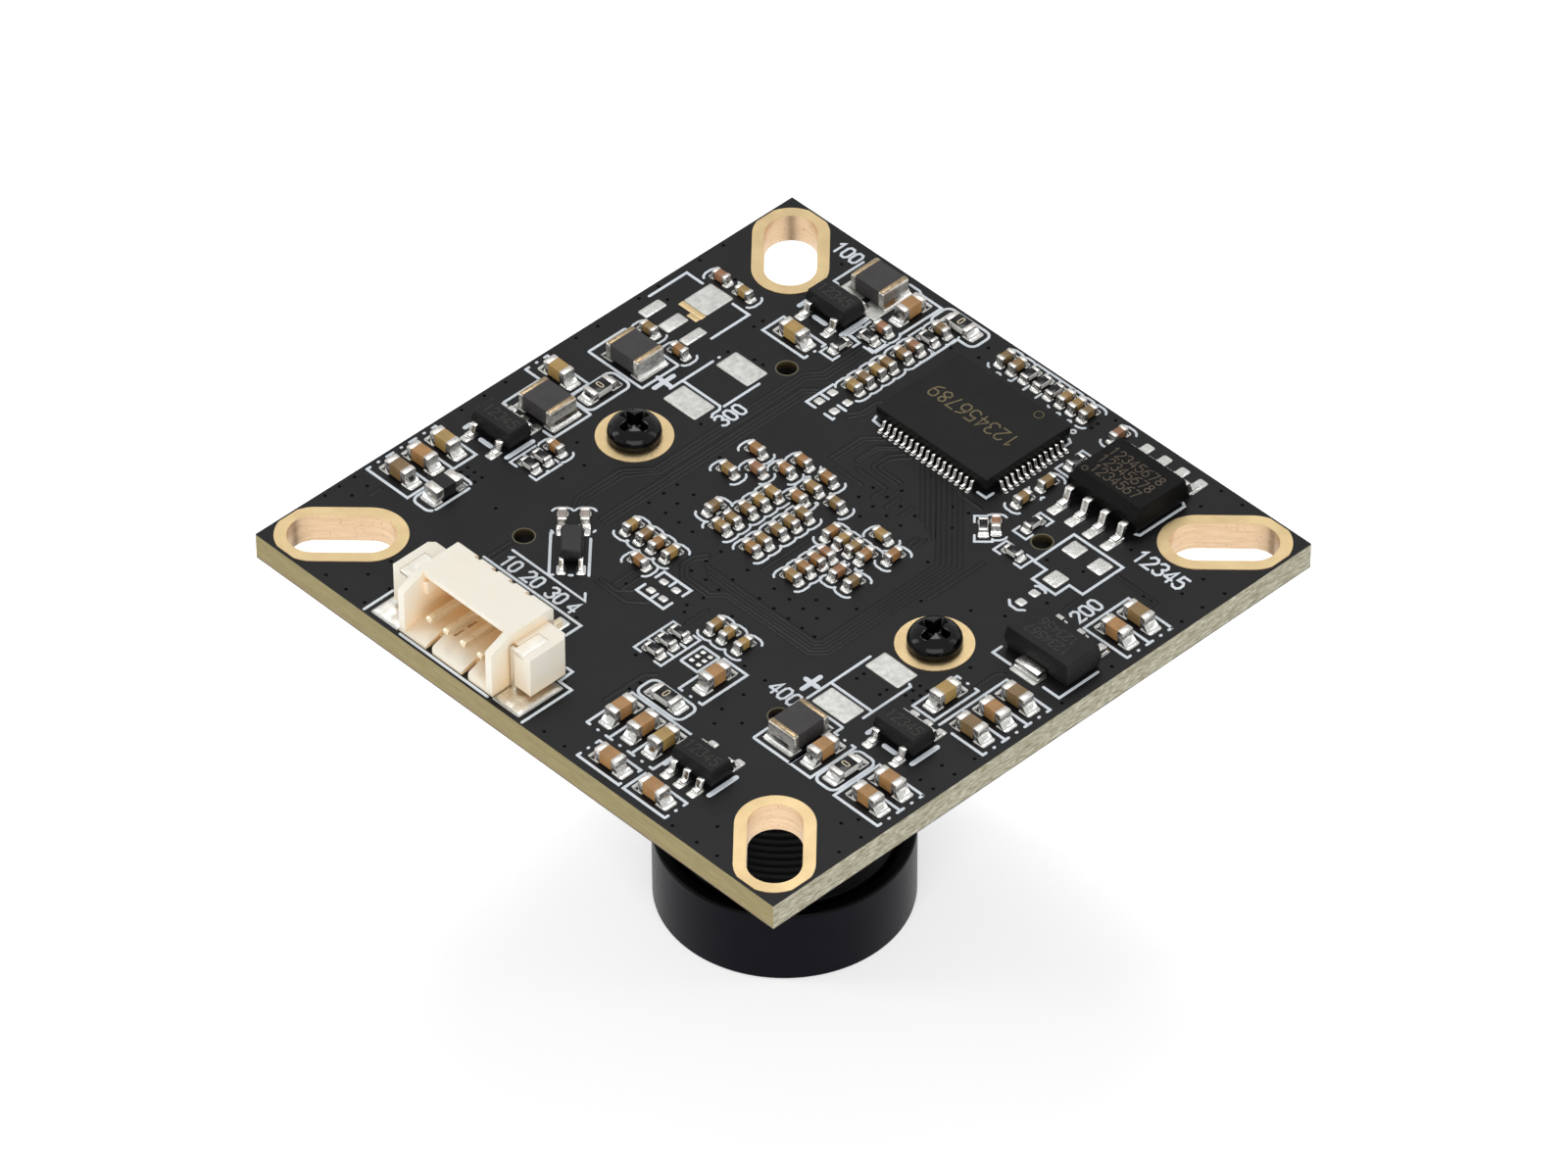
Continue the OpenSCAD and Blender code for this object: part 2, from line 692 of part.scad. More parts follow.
module chip_pads() {
    at(processor_at, 0)
        for (turn = [0, 180]) {
            rotate([0, 0, turn])
                pad_row(processor_l / 2 + processor_reach, short_side_leads, processor_pitch, processor_pad);
            rotate([0, 0, turn + 90])
                pad_row(processor_w / 2 + processor_reach, long_side_leads, processor_pitch, processor_pad);
        }
    at(flash_at, 0)
        for (turn = [90, 270])
            rotate([0, 0, turn]) pad_row(flash_w / 2 + flash_reach, 4, flash_pitch, flash_pad);
    at(regulator_at, 0) {
        rotate([0, 0, 90]) pad_row(regulator_w / 2 + regulator_reach, 3, regulator_pitch, regulator_pad);
        rotate([0, 0, 270]) pad_row(regulator_w / 2 + regulator_tab, 1, regulator_pitch, regulator_tab_pad);
    }
    for (place = small_chips)
        at(place, 0) {
            rotate([0, 0, 90])
                pad_row(small_chip_w / 2 + small_chip_reach, 3, small_chip_pitch, small_chip_pad);
            rotate([0, 0, 270])
                pad_row(small_chip_w / 2 + small_chip_reach, 2, 2 * small_chip_pitch, small_chip_pad);
        }
    at(diode_array_at, 0)
        for (turn = [0, 180])
            rotate([0, 0, turn]) pad_row(diode_l / 2 + diode_reach, 2, diode_pitch, diode_pad);
}

module connector_pads() {
    translate([conn_x, conn_y, 0]) {
        translate([0, conn_depth + contact_tail, 0])
            rotate([0, 0, 90]) pad_row(0, conn_ways, conn_pitch, contact_pad);
        for (side = [-1, 1])
            translate([side * (conn_w / 2 + tab_gap + tab_pad_w / 2), tab_pad_l / 2 - 0.1, 0])
                plate(tab_pad_w, tab_pad_l, pad_t);
    }
}

module processor_body() {
    color([0.16, 0.15, 0.15]) at(processor_at, top_z + chip_lift) moulded(processor);
}

module processor_leads() {
    rise = lead_rise(processor_h, processor_lead);
    color([0.82, 0.82, 0.84])
        at(processor_at, seat_z)
            for (turn = [0, 180]) {
                rotate([0, 0, turn])
                    lead_row(processor_l / 2, short_side_leads, processor_pitch,
                             processor_reach, rise, processor_lead);
                rotate([0, 0, turn + 90])
                    lead_row(processor_w / 2, long_side_leads, processor_pitch,
                             processor_reach, rise, processor_lead);
            }
}

module flash_body() {
    color([0.16, 0.15, 0.15]) at(flash_at, top_z + chip_lift) moulded(flash);
}

module flash_leads() {
    rise = lead_rise(flash_h, flash_lead);
    color([0.82, 0.82, 0.84])
        at(flash_at, seat_z)
            for (turn = [90, 270])
                rotate([0, 0, turn]) lead_row(flash_w / 2, 4, flash_pitch, flash_reach, rise, flash_lead);
}

module regulator_body() {
    color([0.16, 0.15, 0.15]) at(regulator_at, seat_z) moulded(regulator);
}

// Three flat leads on one side and the wide tab on the other
module regulator_leads() {
    color([0.82, 0.82, 0.84])
        at(regulator_at, seat_z) {
            for (i = [-1, 0, 1])
                translate([i * regulator_pitch - regulator_lead_w / 2, regulator_w / 2, 0])
                    cube([regulator_lead_w, regulator_reach, regulator_lead_t]);
            translate([-regulator_tab_w / 2, -regulator_w / 2 - regulator_tab, 0])
                cube([regulator_tab_w, regulator_tab, regulator_lead_t]);
        }
}

module small_chip_bodies() {
    color([0.16, 0.15, 0.15])
        for (place = small_chips) at(place, top_z + chip_lift) moulded(small_chip);
}

module small_chip_leads() {
    rise = lead_rise(small_chip_h, small_chip_lead);
    color([0.82, 0.82, 0.84])
        for (place = small_chips)
            at(place, seat_z) {
                rotate([0, 0, 90])
                    lead_row(small_chip_w / 2, 3, small_chip_pitch,
                             small_chip_reach, rise, small_chip_lead);
                rotate([0, 0, 270])
                    lead_row(small_chip_w / 2, 2, 2 * small_chip_pitch,
                             small_chip_reach, rise, small_chip_lead);
            }
}

module diode_array_body() {
    color([0.16, 0.15, 0.15]) at(diode_array_at, top_z + chip_lift) moulded(diode_array);
}

module diode_array_leads() {
    rise = lead_rise(diode_h, diode_lead);
    color([0.82, 0.82, 0.84])
        at(diode_array_at, seat_z)
            for (turn = [0, 180])
                rotate([0, 0, turn]) lead_row(diode_l / 2, 2, diode_pitch, diode_reach, rise, diode_lead);
}

module power_inductors() {
    color([0.33, 0.32, 0.33])
        for (place = inductors) at(place, seat_z) passive(inductor);
}

module ferrite_bead() {
    color([0.12, 0.12, 0.12]) at(bead_at, seat_z) passive(bead);
}

module small_capacitors() {
    color([0.67, 0.49, 0.29])
        for (place = small_caps) at(place, seat_z) passive(cap_small);
}

module tiny_capacitors() {
    color([0.67, 0.49, 0.29])
        for (place = tiny_caps) at(place, seat_z) passive(cap_tiny);
}

module tiny_resistors() {
    color([0.15, 0.15, 0.17])
        for (place = tiny_res) at(place, seat_z) passive(res_tiny);
}

module zero_ohm_links() {
    color([0.15, 0.15, 0.17])
        for (place = links) at(place, seat_z) passive(link);
}

// Side view of the housing: low nose, sloping up to the roof
module housing_profile() {
    polygon([
        [0, 0], [conn_depth, 0], [conn_depth, conn_h - 0.15], [conn_depth - 0.15, conn_h],
        [conn_roof_back, conn_h], [0.25, conn_nose_h + 0.12], [0, conn_nose_h],
    ]);
}

// Ear of the housing seen from above, with its outer back corner cut off
module ear_profile() {
    front = conn_ear_front;
    back = conn_depth - conn_ear_back;
    cut = conn_ear_cut;
    polygon([
        [-eps, front], [conn_ear_w, front], [conn_ear_w, back - cut],
        [conn_ear_w - cut, back], [-eps, back],
    ]);
}

// Cavity for the plug seen from the front: narrower above the side ledges
module cavity_profile(top) {
    half = conn_w / 2 - conn_wall;
    polygon([
        [-half, conn_floor_t], [half, conn_floor_t], [half, ledge_z], [half - ledge_w, ledge_z + 0.1],
        [half - ledge_w, top], [ledge_w - half, top], [ledge_w - half, ledge_z + 0.1], [-half, ledge_z],
    ]);
}

module connector_housing() {
    color([0.96, 0.92, 0.84])
        translate([conn_x, conn_y, top_z])
            difference() {
                union() {
                    translate([-conn_w / 2, 0, 0])
                        rotate([90, 0, 90]) linear_extrude(conn_w) housing_profile();
                    for (side = [0, 1])
                        mirror([side, 0, 0])
                            translate([conn_w / 2, 0, conn_ear_z])
                                linear_extrude(conn_ear_h - conn_ear_z) ear_profile();
                }
                // Cavity for the plug, and the open front above it
                translate([0, conn_cavity_y, 0])
                    rotate([90, 0, 0])
                        linear_extrude(conn_cavity_y + eps) cavity_profile(conn_h - conn_roof_t);
                translate([conn_wall - conn_w / 2, -eps, conn_floor_t])
                    cube([conn_w - 2 * conn_wall, conn_roof_back + eps, conn_h]);
                // Slopes that lead the plug in, on the floor and under the roof
                translate([conn_wall - conn_w / 2, 0, 0])
                    rotate([90, 0, 90]) linear_extrude(conn_w - 2 * conn_wall) lead_in_profile();
                // Slits that part the floor into tongues, and the shallow grooves behind them
                for (side = [-1, 1])
                    translate([side * slit_x - slit_w / 2, 0, 0]) {
                        translate([0, -eps, -eps]) cube([slit_w, slit_l, conn_floor_t + 2 * eps]);
                        translate([0, 0, conn_floor_t - groove_h])
                            cube([slit_w, conn_cavity_y, groove_h + eps]);
                        translate([slit_w - eps, -eps, -eps])
                            linear_extrude(conn_floor_t + 2 * eps) corner_cut(tongue_corner_r);
                    }
                for (i = [0:conn_ways - 2])
                    if (i % 2 == 1) floor_window(contact_xs[i] - barred_window_shift, barred_window_w, true);
                    else floor_window(contact_xs[i] - window_shift, window_w, false);
                // Passages for the contacts, and the notches over their tails
                for (x = contact_xs) {
                    translate([x - contact_w / 2, conn_cavity_y - eps, contact_z - contact_t / 2])
                        cube([contact_w, conn_back_t + 2 * eps, contact_t]);
                    translate([x - notch_w / 2, conn_depth - notch_l, conn_h - notch_h])
                        cube([notch_w, notch_l + eps, notch_h + eps]);
                }
                // Beds of the fitting nails, and the slots for their legs
                for (side = [0, 1])
                    mirror([side, 0, 0])
                        translate([conn_w / 2, conn_ear_front, 0]) {
                            translate([nail_offset, -eps, conn_ear_h - nail_t])
                                cube([nail_w, nail_l + eps, nail_t + eps]);
                            translate([0, -eps, -eps]) cube([ear_slot_w, ear_slot_l + eps, conn_h]);
                        }
            }
}

// Side view of what the slopes take from the floor and from the roof's underside
module lead_in_profile() {
    floor_z = conn_floor_t;
    roof_z = conn_h - conn_roof_t;
    polygon([[-eps, lead_in_t], [lead_in_l, floor_z], [lead_in_l, floor_z + eps], [-eps, floor_z + eps]]);
    polygon([
        [conn_roof_back - eps, roof_z - eps], [conn_roof_back + roof_lead_l, roof_z - eps],
        [conn_roof_back + roof_lead_l, roof_z], [conn_roof_back - eps, conn_h - roof_lip_t],
    ]);
}

// Square corner less a quarter circle, to round a corner at the origin
module corner_cut(r) {
    difference() {
        square(r);
        translate([r, r]) circle(r = r);
    }
}

// Window through the floor beside a blade, with or without a bar across it
module floor_window(x, w, barred) {
    translate([x - w / 2, window_y, -eps])
        difference() {
            cube([w, window_l, conn_floor_t + 2 * eps]);
            if (barred)
                translate([-eps, (window_l - window_bar) / 2, -eps])
                    cube([w + 2 * eps, window_bar, conn_floor_t + 4 * eps]);
        }
}

module connector_contacts() {
    back = conn_depth + contact_tail;
    bend = back - contact_foot;
    low = contact_z - contact_t / 2;
    high = contact_z + contact_t / 2;
    tip = 0.1;
    color([0.84, 0.83, 0.8])
        translate([conn_x, conn_y, top_z])
            for (x = contact_xs)
                translate([x - contact_w / 2, 0, 0])
                    rotate([90, 0, 90])
                        linear_extrude(contact_w)
                            polygon([
                                [contact_front, low + tip], [contact_front + tip, low],
                                [bend - 0.5, low], [bend, pad_t],
                                [back, pad_t], [back, pad_t + nail_t],
                                [bend + 0.12, pad_t + nail_t], [bend - 0.3, high],
                                [contact_front + tip, high], [contact_front, high - tip],
                            ]);
}

// The nails lie in the ears' tops, each with a leg down in the slot beside the housing
module connector_nails() {
    color([0.8, 0.79, 0.78])
        translate([conn_x, conn_y, top_z])
            for (side = [0, 1])
                mirror([side, 0, 0])
                    translate([conn_w / 2, conn_ear_front, 0]) {
                        translate([nail_offset, 0, conn_ear_h - nail_t]) cube([nail_w, nail_l, nail_t]);
                        translate([ear_slot_w - nail_leg_w, 0, pad_t])
                            cube([nail_leg_w, nail_t, conn_ear_h - pad_t]);
                    }
}

// Pan head: flat underside, short straight edge, rounded crown
module screw_profile() {
    head_r = screw_head_d / 2;
    shank_r = screw_d / 2;
    crown = [for (a = [0:15:90]) [head_r * (0.55 + 0.45 * cos(a)), screw_head_h * (0.45 + 0.55 * sin(a))]];
    polygon(concat(
        [[0, -screw_l], [shank_r * 0.6, -screw_l], [shank_r, -screw_l + 0.5], [shank_r, 0], [head_r, 0]],
        crown,
        [[0, screw_head_h]]
    ));
}

module holder_screws() {
    color([0.09, 0.09, 0.1])
        for (side = [-1, 1])
            translate([side * screw_pitch / 2, 0, seat_z])
                difference() {
                    rotate_extrude() screw_profile();
                    for (turn = [0, 90])
                        rotate([0, 0, turn])
                            translate([0, 0, screw_head_h - screw_cross_h])
                                plate(screw_cross_l, screw_cross_w, screw_cross_h + eps);
                }
}

module lens_holder() {
    color([0.1, 0.1, 0.11])
        difference() {
            union() {
                translate([0, 0, board_z - holder_base_h])
                    linear_extrude(holder_base_h) round_square(holder_w, holder_corner_r);
                translate([0, 0, board_z - ear_h]) {
                    plate(screw_pitch, ear_w, ear_h);
                    for (side = [-1, 1])
                        translate([side * screw_pitch / 2, 0, 0]) cylinder(d = ear_w, h = ear_h);
                }
                translate([0, 0, holder_z]) cylinder(d = neck_d, h = holder_h);
            }
            translate([0, 0, board_z - cavity_h]) plate(cavity_w, cavity_w, cavity_h + eps);
            translate([0, 0, filter_z])
                plate(filter_w + 2 * filter_gap, filter_w + 2 * filter_gap, filter_pocket_h + eps);
            translate([0, 0, bore_top_z - eps]) cylinder(d = aperture_d, h = web_t + 2 * eps);
            translate([0, 0, holder_z - eps]) cylinder(r = bore_r, h = bore_top_z - holder_z + eps);
            for (side = [-1, 1])
                translate([side * screw_pitch / 2, 0, board_z - ear_h - eps])
                    cylinder(r = screw_d / 2 + pilot_gap, h = ear_h + 2 * eps);
        }
}

module infrared_filter() {
    color([0.55, 0.75, 0.8, 0.5]) translate([0, 0, filter_z]) plate(filter_w, filter_w, filter_t);
}

module sensor_package() {
    color([0.12, 0.16, 0.13])
        translate([0, 0, board_z - sensor_h])
            difference() {
                plate(sensor_l, sensor_w, sensor_h);
                translate([0, 0, -eps]) plate(cavity_l, cavity_side, cover_t + sensor_cavity_h + eps);
                translate([0, 0, -eps])
                    plate(cavity_l + 2 * cover_lap, cavity_side + 2 * cover_lap, cover_t + eps);
            }
}

module sensor_die() {
    color([0.25, 0.2, 0.35])
        translate([0, 0, board_z - sensor_h + cover_t + sensor_cavity_h - die_t])
            plate(cavity_l - 2 * die_margin, cavity_side - 2 * die_margin, die_t);
}

module sensor_cover_glass() {
    lap = cover_lap - cover_gap;
    color([0.7, 0.8, 0.85, 0.4])
        translate([0, 0, board_z - sensor_h]) plate(cavity_l + 2 * lap, cavity_side + 2 * lap, cover_t);
}

// Half section of the barrel: outside from the front rim to the rear end, then back down the inside
module barrel_profile() {
    r = shaft_d / 2;
    head_r = head_d / 2;
    rim_r = head_r - head_rim_w;
    polygon([
        [head_r - front_rim_w, 0], [head_r - head_chamfer, 0], [head_r, head_chamfer],
        [head_r, head_h - head_chamfer], [head_r - head_chamfer, head_h],
        [rim_r, head_h], [rim_r, head_h - head_relief_h], [r, head_h - head_relief_h],
        for (i = [0:thread_rings - 1], groove = [[0.3, 0], [0.65, 1], [1, 0]])
            [r - groove[1] * thread_depth, thread_z + (i + groove[0]) * thread_step],
        [r, barrel_l - 0.4], [r - 0.4, barrel_l], [inner_bore_r, barrel_l], [inner_bore_r, inner_z],
        [front_bore_r, inner_z], [front_bore_r, flare_h],
    ]);
}

module lens_barrel() {
    color([0.11, 0.11, 0.13]) rotate_extrude() barrel_profile();
}

// Flat ring of outer radius r, standing on z
module ring(z, r, wall, h) {
    translate([0, 0, z])
        difference() {
            cylinder(r = r, h = h);
            translate([0, 0, -eps]) cylinder(r = r - wall, h = h + 2 * eps);
        }
}

// Round glass disc from z to z + t
module glass_disc(z, d, t) {
    translate([0, 0, z]) cylinder(d = d, h = t);
}

// Ball through the circle of diameter d at height z; its centre lies above z if up is 1, below if -1
module ball_through(z, d, r, up) {
    translate([0, 0, z + up * sqrt(r * r - d * d / 4)]) sphere(r = r);
}

// Glass dome on the circle of diameter d at height z, rising to +Z if up is 1 and to -Z if it is -1
module dome(z, d, r, up) {
    intersection() {
        ball_through(z, d, r, -up);
        translate([0, 0, z + (up - 1) / 2 * r - up * eps]) cylinder(d = d, h = r);
    }
}

module front_keeper_ring() {
    color([0.08, 0.08, 0.09])
        difference() {
            ring(keeper_z, front_d / 2, ring_wall, keeper_h);
            for (turn = [0, 180])
                rotate([0, 0, turn])
                    translate([front_d / 2 - ring_wall - eps, -keeper_notch / 2, keeper_z - eps])
                        cube([ring_wall + 1, keeper_notch, keeper_h / 2]);
        }
}

// Meniscus: a gently domed front that fills its keeper ring, and a hollow behind
module front_element() {
    color([0.6, 0.7, 0.75, 0.4])
        difference() {
            union() {
                glass_disc(front_z, front_d, front_edge_t);
                dome(front_z, front_d - 2 * ring_wall, front_r, -1);
            }
            ball_through(inner_z, front_hollow_d, front_hollow_r, 1);
        }
}

module long_spacer() {
    color([0.08, 0.08, 0.09]) ring(inner_z, inner_d / 2, ring_wall, long_spacer_h);
}

// Hollow on both sides
module second_element() {
    color([0.6, 0.7, 0.75, 0.4])
        difference() {
            glass_disc(second_z, inner_d, second_edge_t);
            ball_through(second_z, inner_clear_d, strong_r, -1);
            ball_through(second_z + second_edge_t, inner_clear_d, weak_r, 1);
        }
}

module stop_ring() {
    color([0.06, 0.06, 0.06]) ring(stop_z, inner_d / 2, (inner_d - stop_d) / 2, stop_h);
}

// Flat towards the stop, domed towards the sensor
module domed_element(z, t) {
    color([0.6, 0.7, 0.75, 0.4]) {
        glass_disc(z, inner_d, t);
        dome(z + t, inner_clear_d, strong_r, 1);
    }
}

module third_element() {
    domed_element(third_z, third_edge_t);
}

module short_spacer() {
    color([0.08, 0.08, 0.09]) ring(short_z, inner_d / 2, ring_wall, short_spacer_h);
}

module rear_element() {
    domed_element(rear_z, rear_edge_t);
}

module rear_keeper_ring() {
    color([0.08, 0.08, 0.09]) ring(rear_keeper_z, inner_d / 2, ring_wall, rear_keeper_h);
}

circuit_board();
slot_plating();
screw_lands();
solder_pads();
processor_body();
processor_leads();
flash_body();
flash_leads();
regulator_body();
regulator_leads();
small_chip_bodies();
small_chip_leads();
diode_array_body();
diode_array_leads();
power_inductors();
ferrite_bead();
small_capacitors();
tiny_capacitors();
tiny_resistors();
zero_ohm_links();
connector_housing();
connector_contacts();
connector_nails();
holder_screws();
lens_holder();
infrared_filter();
sensor_package();
sensor_die();
sensor_cover_glass();
lens_barrel();
front_keeper_ring();
front_element();
long_spacer();
second_element();
stop_ring();
third_element();
short_spacer();
rear_element();
rear_keeper_ring();
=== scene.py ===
"""Surfaces and fine detail of a camera module with an M12 lens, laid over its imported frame."""
import math
import random

import bmesh
import bpy
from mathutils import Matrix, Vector, noise


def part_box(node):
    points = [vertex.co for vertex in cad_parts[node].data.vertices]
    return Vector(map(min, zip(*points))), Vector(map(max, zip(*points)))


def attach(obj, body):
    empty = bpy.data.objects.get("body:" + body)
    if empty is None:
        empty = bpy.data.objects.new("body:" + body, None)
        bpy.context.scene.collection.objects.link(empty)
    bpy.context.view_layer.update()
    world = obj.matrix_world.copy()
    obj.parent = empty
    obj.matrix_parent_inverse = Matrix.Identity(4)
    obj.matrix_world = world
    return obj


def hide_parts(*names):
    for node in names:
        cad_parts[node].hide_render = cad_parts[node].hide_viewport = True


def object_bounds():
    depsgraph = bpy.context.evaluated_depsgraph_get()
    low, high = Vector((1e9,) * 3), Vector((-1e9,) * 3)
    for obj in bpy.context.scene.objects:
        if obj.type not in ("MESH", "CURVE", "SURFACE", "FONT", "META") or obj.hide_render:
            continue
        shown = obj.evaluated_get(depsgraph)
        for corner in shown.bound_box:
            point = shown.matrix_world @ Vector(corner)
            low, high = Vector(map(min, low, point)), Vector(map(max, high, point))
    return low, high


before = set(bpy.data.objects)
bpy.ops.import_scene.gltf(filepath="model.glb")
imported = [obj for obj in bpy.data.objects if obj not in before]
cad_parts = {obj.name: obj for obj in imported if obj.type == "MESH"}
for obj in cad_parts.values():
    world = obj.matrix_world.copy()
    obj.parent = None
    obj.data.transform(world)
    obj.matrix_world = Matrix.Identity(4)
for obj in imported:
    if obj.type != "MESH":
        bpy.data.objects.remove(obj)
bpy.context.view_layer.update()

# All lengths are in millimetres unless they go straight to Blender
MM = 0.001
board_low, board_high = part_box("circuit_board")
BOARD_HALF = board_high.x / MM
TOP = board_high.z / MM
BOARD_T = TOP - board_low.z / MM
rng = random.Random(7)


def linear(rgb):
    """Scene colour of an sRGB colour given as 0 to 255."""
    out = []
    for part in rgb:
        v = part / 255
        out.append(v / 12.92 if v <= 0.04045 else ((v + 0.055) / 1.055) ** 2.4)
    return (*out, 1.0)


class Nodes:
    """Node tree under construction. Its helpers return output sockets."""

    def __init__(self, owner):
        owner.use_nodes = True
        self.tree = owner.node_tree
        self.tree.nodes.clear()

    def feed(self, socket, value):
        if isinstance(value, bpy.types.NodeSocket):
            self.tree.links.new(value, socket)
        elif value is not None:
            socket.default_value = value

    def fill(self, node, **values):
        for name, value in values.items():
            self.feed(node.inputs[name.replace("_", " ")], value)
        return node

    def node(self, kind, **values):
        return self.fill(self.tree.nodes.new("ShaderNode" + kind), **values)

    def span(self, fac, low, high, lo=0.3, hi=0.7):
        """Value that runs from low to high while fac runs from lo to hi, where most noise lies."""
        node = self.node("MapRange", Value=fac, From_Min=lo, From_Max=hi, To_Min=low, To_Max=high)
        return node.outputs[0]

    def calc(self, operation, a, b=0.0):
        node = self.node("Math")
        node.operation = operation
        for socket, value in zip(node.inputs, (a, b)):
            self.feed(socket, value)
        return node.outputs[0]

    def background_seen(self):
        """1 for a ray that shows the background, straight or by way of gloss or glass, else 0."""
        path = self.node("LightPath")
        seen = path.outputs["Is Camera Ray"]
        for ray in ("Is Glossy Ray", "Is Transmission Ray"):
            seen = self.calc("MAXIMUM", seen, path.outputs[ray])
        return seen


class Paint(Nodes):
    """Node material under construction."""

    def __init__(self, name, **sockets):
        self.material = bpy.data.materials.new(name)
        super().__init__(self.material)
        self.shader = self.node("BsdfPrincipled", **sockets)
        self.node("OutputMaterial", Surface=self.shader.outputs[0])
        scale = self.node("VectorMath")
        scale.operation = "SCALE"
        self.fill(scale, Vector=self.node("TexCoord").outputs["Object"], Scale=1 / MM)
        self.place = scale.outputs[0]
        self.normal = None

    def noise(self, size, detail=3.0, rough=0.55, stretch=(1, 1, 1)):
        place = self.node("Mapping", Vector=self.place, Scale=[s / size for s in stretch])
        node = self.node("TexNoise", Vector=place.outputs[0], Scale=1.0, Detail=detail, Roughness=rough)
        return node.outputs["Fac"]

    def ramp(self, fac, *stops):
        node = self.node("ValToRGB", Fac=fac)
        keys = node.color_ramp.elements
        while len(keys) < len(stops):
            keys.new(0.5)
        for key, (at, rgb) in zip(keys, stops):
            key.position = at
            key.color = linear(rgb)
        return node.outputs["Color"]

    def shade(self, fac, dark, light):
        return self.ramp(fac, (0.3, dark), (0.7, light))

    def mix(self, fac, a, b, blend="MIX", kind="RGBA"):
        """Colour between a and b as fac goes from 0 to 1, or number where kind is FLOAT."""
        node = self.node("Mix", Factor=fac)
        node.data_type = kind
        node.blend_type = blend
        first, out = (6, 2) if kind == "RGBA" else (2, 0)
        self.feed(node.inputs[first], a)
        self.feed(node.inputs[first + 1], b)
        return node.outputs[out]

    def axis(self, index, source=None):
        """One coordinate of the surface point, or of the vector given."""
        return self.node("SeparateXYZ", Vector=source or self.place).outputs[index]

    def facing(self, index):
        """How squarely the surface faces along an axis of the object."""
        return self.calc("ABSOLUTE", self.axis(index, self.node("TexCoord").outputs["Normal"]))

    def bump(self, height, depth, strength=1.0):
        node = self.node("Bump", Strength=strength, Distance=depth * MM, Height=height, Normal=self.normal)
        self.normal = node.outputs[0]

    def done(self, **values):
        self.fill(self.shader, Normal=self.normal, **values)
        return self.material


def surface(name, dark, light, grain, rough, depth, spec=0.5, patch=2.0, **sockets):
    """Plain material: colour drifts from dark to light over patches, roughness and grain vary."""
    p = Paint(name, Specular_IOR_Level=spec, **sockets)
    drift = p.noise(patch)
    fine = p.noise(grain, 2.0)
    p.bump(fine, depth)
    both = p.calc("ADD", p.calc("MULTIPLY", drift, 0.65), p.calc("MULTIPLY", fine, 0.35))
    return p.done(Base_Color=p.ramp(both, (0.32, dark), (0.68, light)), Roughness=p.span(fine, *rough))


def board_material():
    p = Paint("mask", Specular_IOR_Level=0.16, IOR=1.5)
    mask = p.shade(p.noise(3.5), (20, 20, 22), (26, 26, 28))
    weave = p.noise(0.45, 2.0)
    orange_peel = p.noise(0.12, 2.0)
    # Cut edges: glass cloth in resin, in layers, browner near the bottom
    height = p.axis(2)
    layer = p.noise(1.0, 4.0, 0.6, (0.6, 0.6, 9.0))
    threads = p.noise(0.14, 2.5, 0.55, (0.35, 0.35, 1.6))
    smooth_cut = p.shade(layer, (143, 131, 88), (166, 152, 104))
    wavy_height = p.calc("ADD", height, p.calc("MULTIPLY", layer, 0.5))
    browner = p.span(wavy_height, 1.0, 0.0, TOP - 1.4, TOP - 1.0)
    smooth_cut = p.mix(browner, smooth_cut, linear((156, 132, 104)))
    rough_cut = p.ramp(threads, (0.3, (138, 134, 110)), (0.5, (178, 174, 152)), (0.75, (222, 220, 204)))
    cut = p.mix(p.span(p.facing(0), 0.1, 0.95, 0.3, 0.9), smooth_cut, rough_cut)
    # Dark line of mask along each rim
    rim_w = 0.055
    off_middle = p.calc("ABSOLUTE", p.calc("SUBTRACT", height, TOP - BOARD_T / 2))
    rim = p.calc("GREATER_THAN", off_middle, BOARD_T / 2 - rim_w)
    cut = p.mix(rim, cut, linear((50, 46, 36)))
    # Walls of the holes, darkened with depth: painted shade inside the holes
    reach = p.calc("MAXIMUM", p.calc("ABSOLUTE", p.axis(0)), p.calc("ABSOLUTE", p.axis(1)))
    depth = p.span(height, 0.0, 1.0, TOP, TOP - BOARD_T)
    wall = p.ramp(depth, (0.0, (84, 72, 42)), (0.12, (52, 42, 22)), (0.3, (26, 20, 10)), (0.55, (6, 5, 3)))
    cut = p.mix(p.calc("LESS_THAN", reach, BOARD_HALF - 0.5), cut, wall)
    flat = p.calc("GREATER_THAN", p.facing(2), 0.5)
    p.bump(weave, 0.004)
    p.bump(orange_peel, 0.002)
    p.bump(p.mix(flat, threads, 0.5, kind="FLOAT"), 0.05, 0.35)
    rough = p.mix(flat, 0.62, p.span(orange_peel, 0.3, 0.42), kind="FLOAT")
    return p.done(Base_Color=p.mix(flat, cut, mask), Roughness=rough)


def gold_material():
    """Gold plating: smooth lands, and slot walls with fine rings and pits."""
    p = Paint("gold")
    grain = p.noise(0.09)
    wall = p.calc("SUBTRACT", 1.0, p.facing(2))
    rings = p.noise(0.9, 3.0, 0.6, (0.5, 0.5, 7.0))
    pits = p.span(p.noise(0.13, 2.0), 0.0, 0.8, 0.62, 0.72)
    flat = p.shade(p.noise(1.6), (188, 165, 124), (204, 181, 138))
    bore = p.mix(pits, p.shade(rings, (220, 188, 150), (238, 210, 176)), linear((180, 140, 104)))
    p.bump(grain, 0.004)
    p.bump(p.calc("MULTIPLY", rings, wall), 0.012, 0.5)
    return p.done(Base_Color=p.mix(p.span(wall, 0.0, 1.0, 0.3, 0.8), flat, bore),
                  Metallic=p.span(wall, 1.0, 0.75, 0.0, 1.0), Roughness=p.span(grain, 0.28, 0.46))


